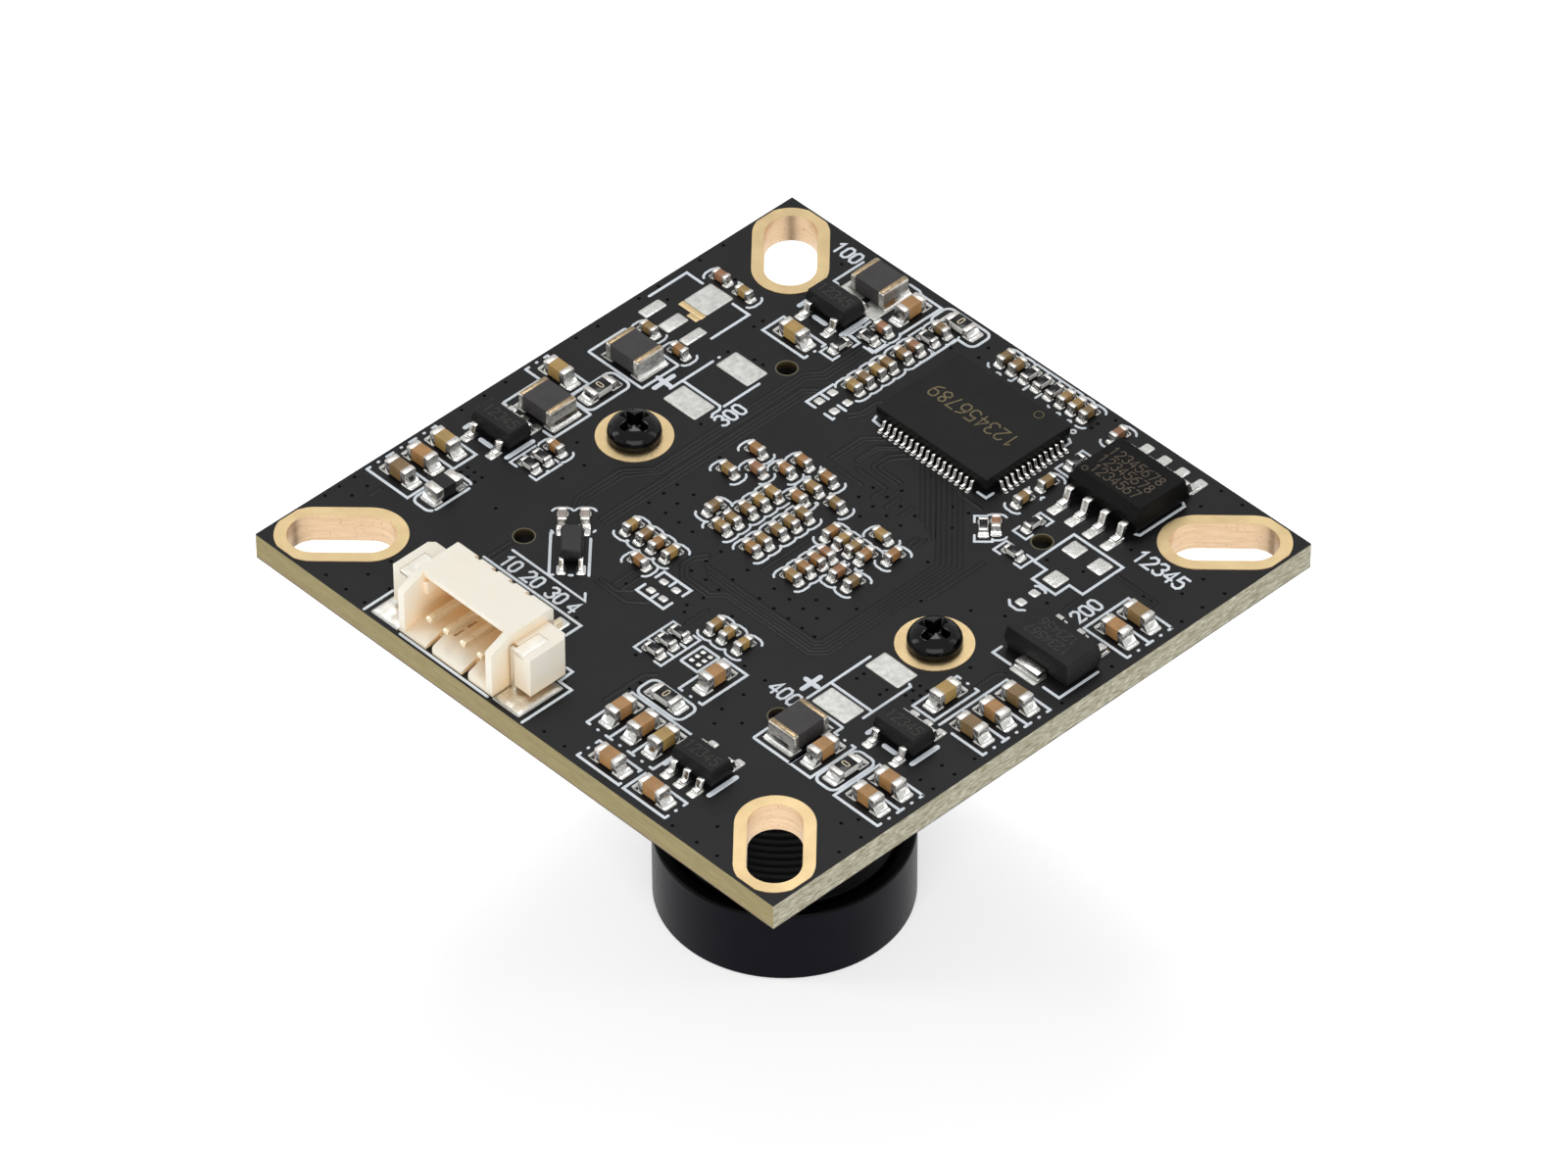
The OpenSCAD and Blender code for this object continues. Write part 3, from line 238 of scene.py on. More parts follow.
def solder_material(name, dark, light, rough, depth, size):
    p = Paint(name, Metallic=1.0)
    lumps = p.noise(size, 2.5)
    p.bump(lumps, depth)
    return p.done(Base_Color=p.ramp(p.noise(size * 0.3), (0.3, dark), (0.66, light)),
                  Roughness=p.span(lumps, *rough))


def ceramic_material():
    """Fired ceramic of the capacitors, its brown chosen by the part's tone."""
    p = Paint("ceramic", Specular_IOR_Level=0.4)
    tone = p.node("Attribute")
    tone.attribute_name = "tone"
    shade = p.ramp(tone.outputs["Fac"], (0.0, (192, 143, 88)), (0.2, (144, 116, 74)), (0.4, (198, 162, 94)),
                   (0.55, (156, 123, 77)), (0.7, (172, 122, 86)), (0.85, (186, 172, 162)),
                   (1.0, (178, 130, 78)))
    specks = p.noise(0.07)
    p.bump(specks, 0.005)
    for source, low in ((specks, 222), (p.noise(0.6, 2.0), 228)):
        shade = p.mix(1.0, shade, p.shade(source, (low,) * 3, (255,) * 3), "MULTIPLY")
    return p.done(Base_Color=shade, Roughness=p.span(specks, 0.3, 0.46))


def plastic_cream():
    """Natural plastic of the connector, with painted warm shade in its hollows."""
    p = Paint("cream", Specular_IOR_Level=0.4, Subsurface_Weight=0.15, Subsurface_Scale=0.0005,
              Subsurface_Radius=(1.0, 0.7, 0.4))
    pits = p.noise(0.06, 2.0)
    p.bump(pits, 0.006)
    # Warmer, darker colour where the surface is hemmed in: painted shade in the hollows
    hollow = p.node("AmbientOcclusion", Distance=2.5 * MM)
    painted_hollow_shade = p.span(hollow.outputs["AO"], 1.0, 0.0, 0.2, 0.85)
    colour = p.shade(p.noise(1.8), (254, 246, 229), (255, 249, 236))
    colour = p.mix(painted_hollow_shade, colour, linear((240, 206, 156)))
    return p.done(Base_Color=colour, Roughness=p.span(pits, 0.46, 0.62))


def coil_end_material():
    """Folded metal end of an inductor: beige on its top faces, silver down its sides."""
    p = Paint("coil_end", Metallic=0.85)
    lumps = p.noise(0.25, 2.5)
    p.bump(lumps, 0.012)
    above = p.shade(lumps, (138, 118, 90), (172, 152, 122))
    sides = p.shade(lumps, (176, 172, 164), (222, 219, 212))
    return p.done(Base_Color=p.mix(p.span(p.facing(2), 0.0, 1.0, 0.5, 0.95), sides, above),
                  Roughness=p.span(lumps, 0.26, 0.4))


def glass_material(name, tint, film):
    p = Paint(name, Transmission_Weight=1.0, IOR=1.52, Thin_Film_Thickness=film, Thin_Film_IOR=1.38)
    dust = p.noise(0.4, 4.0)
    return p.done(Base_Color=p.shade(dust, tint, (250, 252, 255)),
                  Roughness=p.span(dust, 0.0, 0.03, 0.4, 0.8))


def die_material():
    """Sensor surface: a fine array."""
    p = Paint("die", Metallic=0.7, Thin_Film_Thickness=420.0, Thin_Film_IOR=1.8)
    array = p.node("TexBrick", Vector=p.place, Scale=1.0, Mortar_Size=0.02, Brick_Width=0.12, Row_Height=0.12,
                   Color1=linear((86, 74, 104)), Color2=linear((74, 86, 100)), Mortar=linear((40, 38, 52)))
    array.offset = 0.0
    return p.done(Base_Color=array.outputs["Color"], Roughness=p.span(p.noise(0.2), 0.18, 0.3, 0.0, 1.0))


# A plain surface has a dark and a light tone, size of grain, roughness, depth of grain and specular level
MASK = board_material()
TRACE = surface("trace_mask", (22, 22, 24), (28, 28, 30), 0.12, (0.3, 0.42), 0.003, 0.16)
# Darker band laid under each trace and out past its sides: painted shade along the traces' edges
TRACE_SHADE = surface("trace_painted_shade", (14, 14, 15), (20, 20, 21), 0.12, (0.4, 0.5), 0.003, 0.12)
BARE = surface("bare_laminate", (84, 78, 60), (106, 99, 78), 0.1, (0.5, 0.6), 0.004, 0.3)
# Near-black vias: painted shade standing for the dark open holes
VIA_HOLE_SHADE = surface("via_painted_hole_shade", (2, 2, 3), (6, 6, 7), 0.05, (0.5, 0.7), 0.004, 0.03)
GOLD = gold_material()
SOLDER = solder_material("solder", (196, 196, 193), (234, 233, 229), (0.12, 0.24), 0.016, 0.34)
TIN_PAD = solder_material("tin_pad", (164, 165, 161), (188, 188, 184), (0.4, 0.52), 0.014, 0.9)
TERMINAL = solder_material("terminal", (176, 172, 167), (224, 221, 216), (0.24, 0.4), 0.008, 0.16)
LEAD = solder_material("lead", (178, 176, 172), (228, 226, 222), (0.16, 0.3), 0.008, 0.3)
CONTACT = surface("contact", (232, 214, 180), (244, 230, 202), 0.6, (0.26, 0.34), 0.001, Metallic=0.5)
NAIL = surface("nail", (214, 209, 198), (232, 228, 218), 0.6, (0.26, 0.34), 0.001, Metallic=0.8)
POOL = solder_material("pool", (208, 204, 196), (238, 235, 227), (0.3, 0.46), 0.02, 0.5)
COIL_END = coil_end_material()
CHIP = surface("chip", (20, 20, 20), (34, 34, 34), 0.09, (0.42, 0.6), 0.014, 0.14)
CHIP_BLACK = surface("chip_black", (2, 2, 2), (14, 14, 13), 0.09, (0.42, 0.6), 0.014, 0.09)
CHIP_DARK = surface("chip_dark", (9, 9, 9), (22, 22, 21), 0.09, (0.42, 0.6), 0.014, 0.14)
CHIP_LIGHT = surface("chip_light", (26, 26, 28), (36, 36, 38), 0.07, (0.3, 0.42), 0.008, 0.3)
MARK_GOLD = surface("mark_gold", (104, 95, 68), (124, 113, 84), 0.06, (0.5, 0.7), 0.004, 0.2)
MARK_BROWN = surface("mark_brown", (84, 74, 62), (104, 92, 78), 0.06, (0.5, 0.7), 0.004, 0.2)
MARK_CREAM = surface("mark_cream", (224, 208, 174), (238, 225, 196), 0.06, (0.5, 0.7), 0.004, 0.2)
MARK_GREY = surface("mark_grey", (54, 52, 49), (66, 64, 60), 0.06, (0.5, 0.7), 0.004, 0.2)
COIL = surface("coil", (56, 54, 54), (68, 66, 66), 0.08, (0.5, 0.66), 0.01, 0.25, patch=0.9)
BEAD = surface("bead", (24, 23, 24), (34, 33, 34), 0.08, (0.4, 0.6), 0.01, 0.2)
CERAMIC = ceramic_material()
ALUMINA = surface("alumina", (206, 204, 198), (232, 231, 226), 0.1, (0.4, 0.6), 0.006)
FILM = surface("resistor_film", (10, 10, 12), (20, 20, 23), 0.1, (0.16, 0.3), 0.005, 0.22, patch=0.4)
SILK = surface("silk", (220, 228, 236), (238, 244, 249), 0.09, (0.5, 0.7), 0.006, 0.25)
CREAM = plastic_cream()
SCREW = surface("screw", (4, 4, 5), (9, 9, 10), 0.1, (0.08, 0.15), 0.002, 0.21)
HOLDER = surface("holder", (20, 20, 22), (29, 29, 31), 0.09, (0.5, 0.66), 0.012, 0.3)
BARREL = surface("barrel", (4, 4, 10), (8, 8, 16), 0.1, (0.28, 0.4), 0.004, 0.09,
                 Specular_Tint=(0.84, 0.82, 1.0, 1.0))
SHAFT = surface("shaft", (2, 2, 3), (5, 5, 6), 0.1, (0.3, 0.42), 0.004, 0.06)
# Lighter grey on the thread crests: painted highlight, the glints along the crests
CREST_HIGHLIGHT = surface("crest_highlight", (58, 58, 61), (104, 104, 108), 0.3, (0.3, 0.5), 0.003, Metallic=0.5)
RING = surface("ring", (12, 12, 14), (20, 20, 22), 0.08, (0.45, 0.6), 0.006, 0.2)
FR4 = surface("laminate", (52, 74, 54), (72, 96, 70), 0.12, (0.4, 0.6), 0.006)
GLASS = glass_material("glass", (238, 244, 252), 130.0)
FILTER = glass_material("filter", (176, 226, 226), 330.0)
DIE = die_material()


def turned(u, v, turn, x=0.0, y=0.0):
    """Flat point turned about the origin by an angle in degrees, then moved by x and y."""
    c, s = math.cos(math.radians(turn)), math.sin(math.radians(turn))
    return x + c * u - s * v, y + s * u + c * v


def polar(r, angle):
    return r * math.cos(math.radians(angle)), r * math.sin(math.radians(angle))


def placed(name, data):
    obj = bpy.data.objects.new(name, data)
    bpy.context.scene.collection.objects.link(obj)
    return obj


class Pile:
    """Faces of one piece, each with a material number and a tone."""

    def __init__(self):
        self.verts, self.faces, self.slots, self.tones = [], [], [], []

    def add(self, verts, faces, slot=0, tone=0.5):
        base = len(self.verts)
        self.verts += verts
        self.faces += [[base + i for i in f] for f in faces]
        self.slots += [slot] * len(faces)
        self.tones += [tone] * len(faces)

    def set_down(self, shape, spot, slot=0, tone=0.5):
        """Adds a shape moved to a spot, given as x, y, z and turn in degrees."""
        x, y, z, turn = spot
        verts = [(*turned(a, b, turn, x, y), z + h) for a, b, h in shape[0]]
        self.add(verts, shape[1], slot, tone)

    def piece(self, name, materials, replaces=(), body="module", sharp=40, weighted=True):
        mesh = bpy.data.meshes.new(name)
        mesh.from_pydata([[c * MM for c in v] for v in self.verts], [], self.faces)
        mesh.polygons.foreach_set("material_index", self.slots)
        tones = mesh.attributes.new("tone", "FLOAT", "FACE")
        tones.data.foreach_set("value", self.tones)
        finish_piece(name, mesh, materials, replaces, body, sharp, weighted)


def finish_piece(name, mesh, materials, replaces, body, sharp, weighted):
    """Object of a mesh, shaded smooth between its sharp edges, riding on a body."""
    for m in materials:
        mesh.materials.append(m)
    mesh.polygons.foreach_set("use_smooth", [True] * len(mesh.polygons))
    mesh.set_sharp_from_angle(angle=math.radians(sharp))
    mesh.update()
    obj = placed(name, mesh)
    if weighted:
        obj.modifiers.new("even_normals", "WEIGHTED_NORMAL").keep_sharp = True
    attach(obj, body)
    if replaces:
        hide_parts(*replaces)


shapes = {}


def block(l, w, h, r, segments=2):
    """Rounded block, centred, standing on z = 0."""
    key = (round(l, 4), round(w, 4), round(h, 4), round(r, 4), segments)
    if key not in shapes:
        bm = bmesh.new()
        bmesh.ops.create_cube(bm, size=1)
        for v in bm.verts:
            v.co = Vector((v.co.x * l, v.co.y * w, (v.co.z + 0.5) * h))
        bmesh.ops.bevel(bm, geom=bm.edges[:], offset=r, segments=segments, profile=0.5, affect="EDGES")
        shapes[key] = mesh_lists(bm)
    return shapes[key]


def mesh_lists(bm):
    """Vertices and faces of a mesh under construction, which is then let go."""
    bm.verts.index_update()
    out = [tuple(v.co) for v in bm.verts], [[v.index for v in f.verts] for f in bm.faces]
    bm.free()
    return out


def joined(verts, faces, gap):
    """Shape of loose faces, with the points that lie within a gap merged."""
    bm = bmesh.new()
    made = [bm.verts.new(v) for v in verts]
    for f in faces:
        bm.faces.new([made[i] for i in f])
    bmesh.ops.remove_doubles(bm, verts=bm.verts, dist=gap)
    bmesh.ops.dissolve_degenerate(bm, dist=gap / 2, edges=bm.edges)
    bmesh.ops.recalc_face_normals(bm, faces=bm.faces)
    return mesh_lists(bm)


def spun(profile, steps=32):
    """Solid turned from (radius, z) points that start and end on the axis or close on themselves."""
    n = len(profile)
    closed = profile[0][0] > 0
    verts = [(*polar(r, 360 * i / steps), z) for i in range(steps) for r, z in profile]
    faces = []
    for i in range(steps):
        j = (i + 1) % steps
        for k in range(n if closed else n - 1):
            m = (k + 1) % n
            faces.append([i * n + k, j * n + k, j * n + m, i * n + m])
    return joined(verts, faces, 1e-5)


def heap(grid, floor):
    """Closed solid under a grid of points, down to the floor height."""
    rows, cols = len(grid), len(grid[0])
    verts = [p for row in grid for p in row] + [(p[0], p[1], floor) for row in grid for p in row]
    under = rows * cols
    faces = []
    for i in range(rows - 1):
        for j in range(cols - 1):
            a, b, c, d = i * cols + j, i * cols + j + 1, (i + 1) * cols + j + 1, (i + 1) * cols + j
            faces.append([a, d, c, b])
            faces.append([under + a, under + b, under + c, under + d])
    rim = list(range(cols)) + [i * cols + cols - 1 for i in range(1, rows)]
    rim += [(rows - 1) * cols + j for j in range(cols - 2, -1, -1)]
    rim += [i * cols for i in range(rows - 2, 0, -1)]
    for a, b in zip(rim, rim[1:] + rim[:1]):
        faces.append([a, b, under + b, under + a])
    return verts, faces


def pillow(l, w, r, crown, lift=0.0):
    """Low domed pad with round corners, standing on z = 0."""
    verts, faces = [], []
    levels = ((0.0, 0.0), (0.0, 0.45 * crown + lift), (0.3 * r, 0.8 * crown + lift), (0.8 * r, crown + lift))
    for inset, z in levels:
        rr = max(r - inset, 0.3 * r)
        for q in range(4):
            cx = (l / 2 - inset - rr) * (1 if q in (0, 3) else -1)
            cy = (w / 2 - inset - rr) * (1 if q in (0, 1) else -1)
            for k in range(4):
                x, y = polar(rr, 90 * q + 30 * k)
                verts.append((cx + x, cy + y, z))
    n = 16
    last = (len(levels) - 1) * n
    for base in range(0, last, n):
        for i in range(n):
            j = (i + 1) % n
            faces.append([base + i, base + j, base + n + j, base + n + i])
    faces.append(list(range(n - 1, -1, -1)))
    faces.append(list(range(last, last + n)))
    return verts, faces


def islands(node):
    """Corner points of each solid in a node."""
    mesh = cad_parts[node].data
    keys = [tuple(round(c / MM, 4) for c in v.co) for v in mesh.vertices]
    parent = {k: k for k in keys}

    def root(k):
        while parent[k] != k:
            parent[k] = parent[parent[k]]
            k = parent[k]
        return k

    for face in mesh.polygons:
        first = root(keys[face.vertices[0]])
        for i in face.vertices[1:]:
            parent[root(keys[i])] = first
    groups = {}
    for k in parent:
        groups.setdefault(root(k), []).append(k)
    return [groups[k] for k in sorted(groups)]


def box_of(points):
    """Spot and size (x, y, z, turn, l, w, h) of the tightest box at 0 or 45 degrees, l the long side."""
    best = None
    for turn in (0, 45):
        us, vs = zip(*(turned(p[0], p[1], -turn) for p in points))
        l, w = max(us) - min(us), max(vs) - min(vs)
        if best is None or l * w < best[0] - 1e-3:
            best = (l * w, *turned((max(us) + min(us)) / 2, (max(vs) + min(vs)) / 2, turn), turn, l, w)
    x, y, turn, l, w = best[1:]
    if w > l + 1e-4:
        l, w, turn = w, l, turn + 90
    low, high = (pick(p[2] for p in points) for pick in (min, max))
    return x, y, low, turn, l, w, high - low


def boxes(node):
    return [box_of(points) for points in islands(node)]


def off(box, along, across=0.0):
    """Spot at a distance along and across a box from its centre."""
    x, y, z, turn = box[:4]
    return *turned(along, across, turn, x, y), z, turn


def refined(node, width, material, segments=2, bend=30, reshape=None):
    """A node's solids with their sharp edges rounded, as a piece that replaces it."""
    bm = bmesh.new()
    bm.from_mesh(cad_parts[node].data)
    for v in bm.verts:
        v.co /= MM
    bmesh.ops.remove_doubles(bm, verts=bm.verts, dist=1e-4)
    bmesh.ops.dissolve_limit(bm, angle_limit=math.radians(0.5), verts=bm.verts, edges=bm.edges)
    if reshape:
        reshape(bm)
    edges = [e for e in bm.edges if len(e.link_faces) == 2 and e.calc_face_angle(0) > math.radians(bend)]
    bmesh.ops.bevel(bm, geom=edges, offset=width, segments=segments, profile=0.5, affect="EDGES",
                    clamp_overlap=True)
    for v in bm.verts:
        v.co *= MM
    name = node + "_shaped"
    mesh = bpy.data.meshes.new(name)
    bm.to_mesh(mesh)
    bm.free()
    finish_piece(name, mesh, [material], (node,), "module", 40, True)


def reach_of(bm, k):
    """Lowest and highest coordinate of a mesh along an axis."""
    values = [v.co[k] for v in bm.verts]
    return min(values), max(values)


def slant_edge(bm):
    """Cuts a body's top edge on the side of the lower y at a slant."""
    top = reach_of(bm, 2)[1]
    side = min(v.co.y for v in bm.verts if v.co.z > top - 0.01)
    edges = [e for e in bm.edges if all(v.co.z > top - 0.01 and v.co.y < side + 0.01 for v in e.verts)]
    bmesh.ops.bevel(bm, geom=edges, offset=0.42, segments=1, affect="EDGES")


def steepen(bm):
    """Draws a moulded body's top out to nearly its full width."""
    top = reach_of(bm, 2)[1]
    high = [v.co for v in bm.verts if v.co.z > top - 0.01]
    for k in (0, 1):
        low, far = reach_of(bm, k)
        for c in high:
            c[k] = low + 0.01 if c[k] < (low + far) / 2 else far - 0.01


def draw_in(bm):
    """Cuts the toes of a package's leads back a little on every side."""
    for k in (0, 1):
        low, far = reach_of(bm, k)
        for v in bm.verts:
            v.co[k] = min(max(v.co[k], low + 0.06), far - 0.06)


def sections(points, width, closed):
    """Centre, side vector and half width along a line, with round ends where it is open."""
    pts = [Vector(p) for p in points]
    n = len(pts)
    out = []
    for i, p in enumerate(pts):
        before = (p - pts[i - 1] if i or closed else pts[1] - p).normalized()
        after = (pts[(i + 1) % n] - p).normalized() if i < n - 1 or closed else before
        along = (before + after).normalized()
        side = Vector((-along.y, along.x))
        stretch = 1 / max(abs(side.dot(Vector((-before.y, before.x)))), 0.5)
        out.append((p, side, width / 2 * stretch))
    if closed:
        return out
    head = (pts[0] - pts[1]).normalized()
    tail = (pts[-1] - pts[-2]).normalized()
    for share in (0.6, 0.95):
        reach, half = width / 2 * share, width / 2 * math.sqrt(1 - share ** 2)
        out.insert(0, (pts[0] + head * reach, out[0][1], half))
        out.append((pts[-1] + tail * reach, out[-1][1], half))
    return out


strip_count = 0


def strip(pile, points, width, height, base=TOP, slot=0, shoulder=0.85):
    """Thin raised line along points. It closes where the last point is the first one."""
    global strip_count
    # No two strips that cross have the same height
    strip_count += 1
    top = base + height + (strip_count % 7) * 0.0004
    closed = len(points) > 3 and math.dist(points[0], points[-1]) < 1e-6
    rows = sections(points[:-1] if closed else points, width, closed)
    verts = []
    for p, side, half in rows:
        for reach, z in ((half, base), (half * shoulder, top), (-half * shoulder, top), (-half, base)):
            q = p + side * reach
            verts.append((q.x, q.y, z))
    n = len(rows)
    faces = []
    for i in range(n if closed else n - 1):
        j = (i + 1) % n
        for k in range(4):
            m = (k + 1) % 4
            faces.append([4 * i + k, 4 * i + m, 4 * j + m, 4 * j + k])
    if not closed:
        faces.append([3, 2, 1, 0])
        faces.append([4 * n - 4 + k for k in range(4)])
    pile.add(verts, faces, slot)


def arc(x, y, r, start, end, steps=8):
    out = []
    for i in range(steps + 1):
        u, v = polar(r, start + (end - start) * i / steps)
        out.append((x + u, y + v))
    return out


def round_box(x0, y0, x1, y1, r):
    """Closed outline of a box with round corners."""
    out = []
    for x, y, a in ((x1 - r, y1 - r, 0), (x0 + r, y1 - r, 90), (x0 + r, y0 + r, 180), (x1 - r, y0 + r, 270)):
        out += arc(x, y, r, a, a + 90, 4)
    return out + out[:1]


# Strokes of each digit, on a field 4 wide and 6 high
DIGITS = {
    "0": [[(1, 0), (0, 1.2), (0, 4.8), (1, 6), (3, 6), (4, 4.8), (4, 1.2), (3, 0), (1, 0)]],
    "1": [[(0.8, 4.8), (2.3, 6), (2.3, 0)]],
    "2": [[(0, 4.8), (1, 6), (3, 6), (4, 4.9), (3.8, 3.8), (0, 0), (4, 0)]],
    "3": [[(0, 5.2), (1, 6), (3, 6), (4, 5), (3.8, 3.9), (2.6, 3.2)],
          [(2.6, 3.2), (4, 2.3), (4, 1), (3, 0), (1, 0), (0, 0.8)]],
    "4": [[(3, 0), (3, 6), (0, 2)], [(0, 1.8), (4, 1.8)]],
    "5": [[(4, 6), (0.5, 6), (0.2, 3.4), (3, 3.7), (4, 2.6), (4, 1), (3, 0), (1, 0), (0, 0.8)]],
    "6": [[(3.6, 6), (1.2, 5), (0, 3), (0, 1), (1, 0), (3, 0), (4, 1), (4, 2.5), (3, 3.5), (1, 3.5),
           (0.3, 2.8)]],
    "7": [[(0, 6), (4, 6), (1.5, 0)]],
    "8": [[(2, 3.2), (0.5, 4), (0.5, 5.3), (2, 6), (3.5, 5.3), (3.5, 4), (2, 3.2)],
          [(2, 3.1), (0.1, 2.2), (0.1, 0.9), (2, 0), (3.9, 0.9), (3.9, 2.2), (2, 3.1)]],
    "9": [[(0.5, 0), (3, 1), (4, 3), (4, 5), (3, 6), (1, 6), (0, 5), (0, 3.6), (1, 2.6), (3, 2.6),
           (3.8, 3.3)]],
}


def number(pile, text, x, y, high, line, turn=0, base=TOP, height=0.027, slot=0, wide=0.8):
    """Plain number in single strokes, centred on a point."""
    unit = high / 6
    pace = 5.7
    start = -((len(text) - 1) * pace + 4) / 2
    for i, digit in enumerate(text):
        for stroke in DIGITS[digit]:
            pts = [turned((u + start + i * pace) * unit * wide, (v - 3) * unit, turn, x, y)
                   for u, v in stroke]
            strip(pile, pts, line, height, base, slot)


# Height of the print, and widths of its lines, bars, numbers and the lines round tiny parts
SILK_H = 0.027
SILK_W, BAR_W, NUMBER_W, FINE_W = 0.165, 0.3, 0.155, 0.14
# Room that the print leaves round a pad, from the middle of a line
PAD_ROOM = 0.15

SILK_LINES = [
    # Round the connector
    [(-10.95, -18.85), (-10.95, -16.9)], [(-8.3, -18.8), (-1.85, -18.8)],
    [(-9.6, -11.85), (-2.4, -11.85), (-2.4, -12.9)],
    [(-0.6, -14.5), (-0.2, -14.5), (-0.15, -15.45), (0.75, -15.45), (0.75, -18.85)],
    [(-8.95, -10.45), (-3.6, -10.45), (-4.0, -10.05)],
    # Corners of the processor, the flash memory and the regulator
    [(-3.4, 9.95), (-3.3, 9.65), (-2.75, 9.6)], [(4.4, 9.6), (5.0, 9.6), (5.0, 10.1)],
    [(4.75, 15.85), (5.0, 15.7), (5.0, 15.2)], [(12.25, 16.55), (12.52, 16.4), (12.48, 13.2), (12.25, 13.1)],
    [(18.2, 4.4), (18.2, 1.65), (17.1, 1.65)], [(13.5, 2.25), (13.5, 1.65), (14.75, 1.65)],
    # Place left empty for a regulator
    [(-17.25, 10.8), (-18.45, 10.8), (-18.45, 8.1)], [(-14.95, 10.8), (-13.75, 10.8), (-13.75, 8.1)],
    # Places left empty for two large capacitors
    [(-12.4, 6.9), (-12.4, 3.85)], [(-12.4, 7.33), (-12.4, 7.38)], [(-9.45, 7.4), (-9.45, 4.9)],
    [(-12.4, 4.75), (-9.6, 4.75), (-9.42, 4.55), (-9.42, 4.05), (-9.28, 3.85)],
    [(9.42, -7.4), (9.42, -3.0)], [(12.25, -3.0), (12.42, -3.1), (12.42, -6.4)],
    [(9.42, -5.75), (12.42, -5.75)],
    # Place left empty for a three-lead chip, and for a small part below it
    [(10.1, 7.95), (10.1, 10.85), (13.6, 10.85), (13.6, 7.95), (12.65, 7.95), (12.65, 6.95), (11.0, 6.95),
     (11.0, 7.95), (10.1, 7.95)],
    [(11.35, 6.55), (11.6, 6.78), (12.1, 6.78), (12.35, 6.55)],
    [(11.3, 5.0), (11.6, 4.75), (12.1, 4.75), (12.4, 5.0)],
    # Two pairs of pads left empty
    [(-6.1, 8.2), (-6.75, 8.2), (-6.75, 10.1)], [(-6.75, 9.15), (-6.1, 9.15)],
    [(-5.4, 8.2), (-4.82, 8.2), (-4.82, 10.1)], [(-4.82, 9.15), (-5.4, 9.15)],
    [(-2.4, -7.4), (-2.4, -8.0), (-0.42, -8.0), (-0.42, -7.4)], [(-1.42, -8.0), (-1.42, -7.45)],
    [(-2.4, -6.65), (-2.4, -6.05), (-0.42, -6.05), (-0.42, -6.65)], [(-1.42, -6.05), (-1.42, -6.6)],
    # Round the diode array
    [(-7.32, -7.02), (-7.05, -6.78), (-4.85, -9.0), (-6.32, -10.4), (-8.55, -8.18), (-8.3, -7.95)],
    # Top left group
    [(-12.3, 15.85), (-12.6, 15.85), (-12.6, 18.0)], [(-12.0, 15.8), (-11.5, 15.8)],
    [(-9.35, 15.82), (-8.95, 15.87), (-8.7, 16.1)],
    [(-9.6, 18.5), (-8.9, 18.5), (-8.6, 18.35), (-7.12, 18.35), (-7.12, 13.32), (-7.75, 13.32)],
    [(-4.85, 17.2), (-4.78, 16.2), (-4.78, 14.2)],
]

# Wide bars at the marked ends of parts, and plus signs
SILK_BARS = [
    [(-9.25, 15.0), (-9.25, 13.15)], [(-12.45, 13.75), (-12.45, 13.2)], [(-11.25, 13.15), (-10.45, 13.15)],
    [(-14.35, -4.05), (-14.35, -5.85)], [(-17.55, -5.45), (-17.55, -5.8)], [(-16.3, -5.85), (-15.55, -5.85)],
    [(16.5, -5.25), (16.5, -7.0)], [(13.35, -6.6), (13.35, -7.0)], [(14.6, -7.05), (15.35, -7.05)],
    [(11.1, -13.95), (11.1, -15.8)], [(7.92, -15.4), (7.92, -15.8)],
    # Plus signs
    [(-13.45, 4.0), (-12.5, 4.0)], [(-13.0, 4.65), (-13.0, 3.3)],
    [(8.35, -6.45), (9.2, -6.45)], [(8.75, -5.85), (8.75, -7.1)],
]

# Places of two-ended parts in a row: corners, the end with gaps and a dot, and how many
SILK_ROWS = [
    (15.42, 6.2, 18.5, 9.4, "right", 2), (15.42, -4.02, 18.5, 0.72, "right", 3),
    (15.42, -11.35, 18.5, -8.2, "right", 2), (-18.7, -11.6, -15.62, -6.82, "left", 3),
    (-18.7, -0.48, -15.6, 1.08, "left", 1), (3.0, -16.5, 7.8, -13.4, "down", 3),
    (4.42, -11.5, 6.1, -8.38, "down", 1), (13.5, -4.0, 15.02, -0.88, "up", 1),
    (-12.38, 10.48, -9.28, 12.0, "right", 1), (4.42, -18.5, 7.42, -16.98, "left", 1),
    (7.75, -18.5, 10.75, -16.98, "right", 1), (12.2, -11.32, 13.68, -8.2, "up", 1),
]

# Corners of closed boxes, those of the first list hardly rounded
SILK_BOXES = [
    (-17.45, 2.82, -13.42, 5.42), (-17.6, -3.1, -13.78, -0.48), (9.62, -11.32, 12.2, -7.62),
    (2.98, -10.02, 4.2, -8.5),
]
SILK_ROUND_BOXES = [
    (-15.55, -0.38, -13.95, 2.62), (3.0, -13.22, 6.2, -11.85), (13.82, -11.25, 15.25, -8.2),
    (-15.4, -11.55, -13.95, -8.48), (-6.95, 17.22, -3.72, 18.72),
]

# Plain numbers: text, x, y, height, turn
SILK_NUMBERS = [
    ("100", -13.7, 17.95, 0.82, 0), ("12345", 15.05, 12.1, 0.92, 0), ("200", 14.6, 7.2, 0.82, 90),
    ("300", -8.72, 4.65, 0.82, 90), ("400", 8.4, -7.97, 0.86, 0), ("10", -8.25, -11.2, 0.82, 0),
    ("20", -6.6, -11.2, 0.82, 0), ("30", -4.9, -11.2, 0.82, 0), ("4", -3.65, -11.2, 0.82, 0),
]


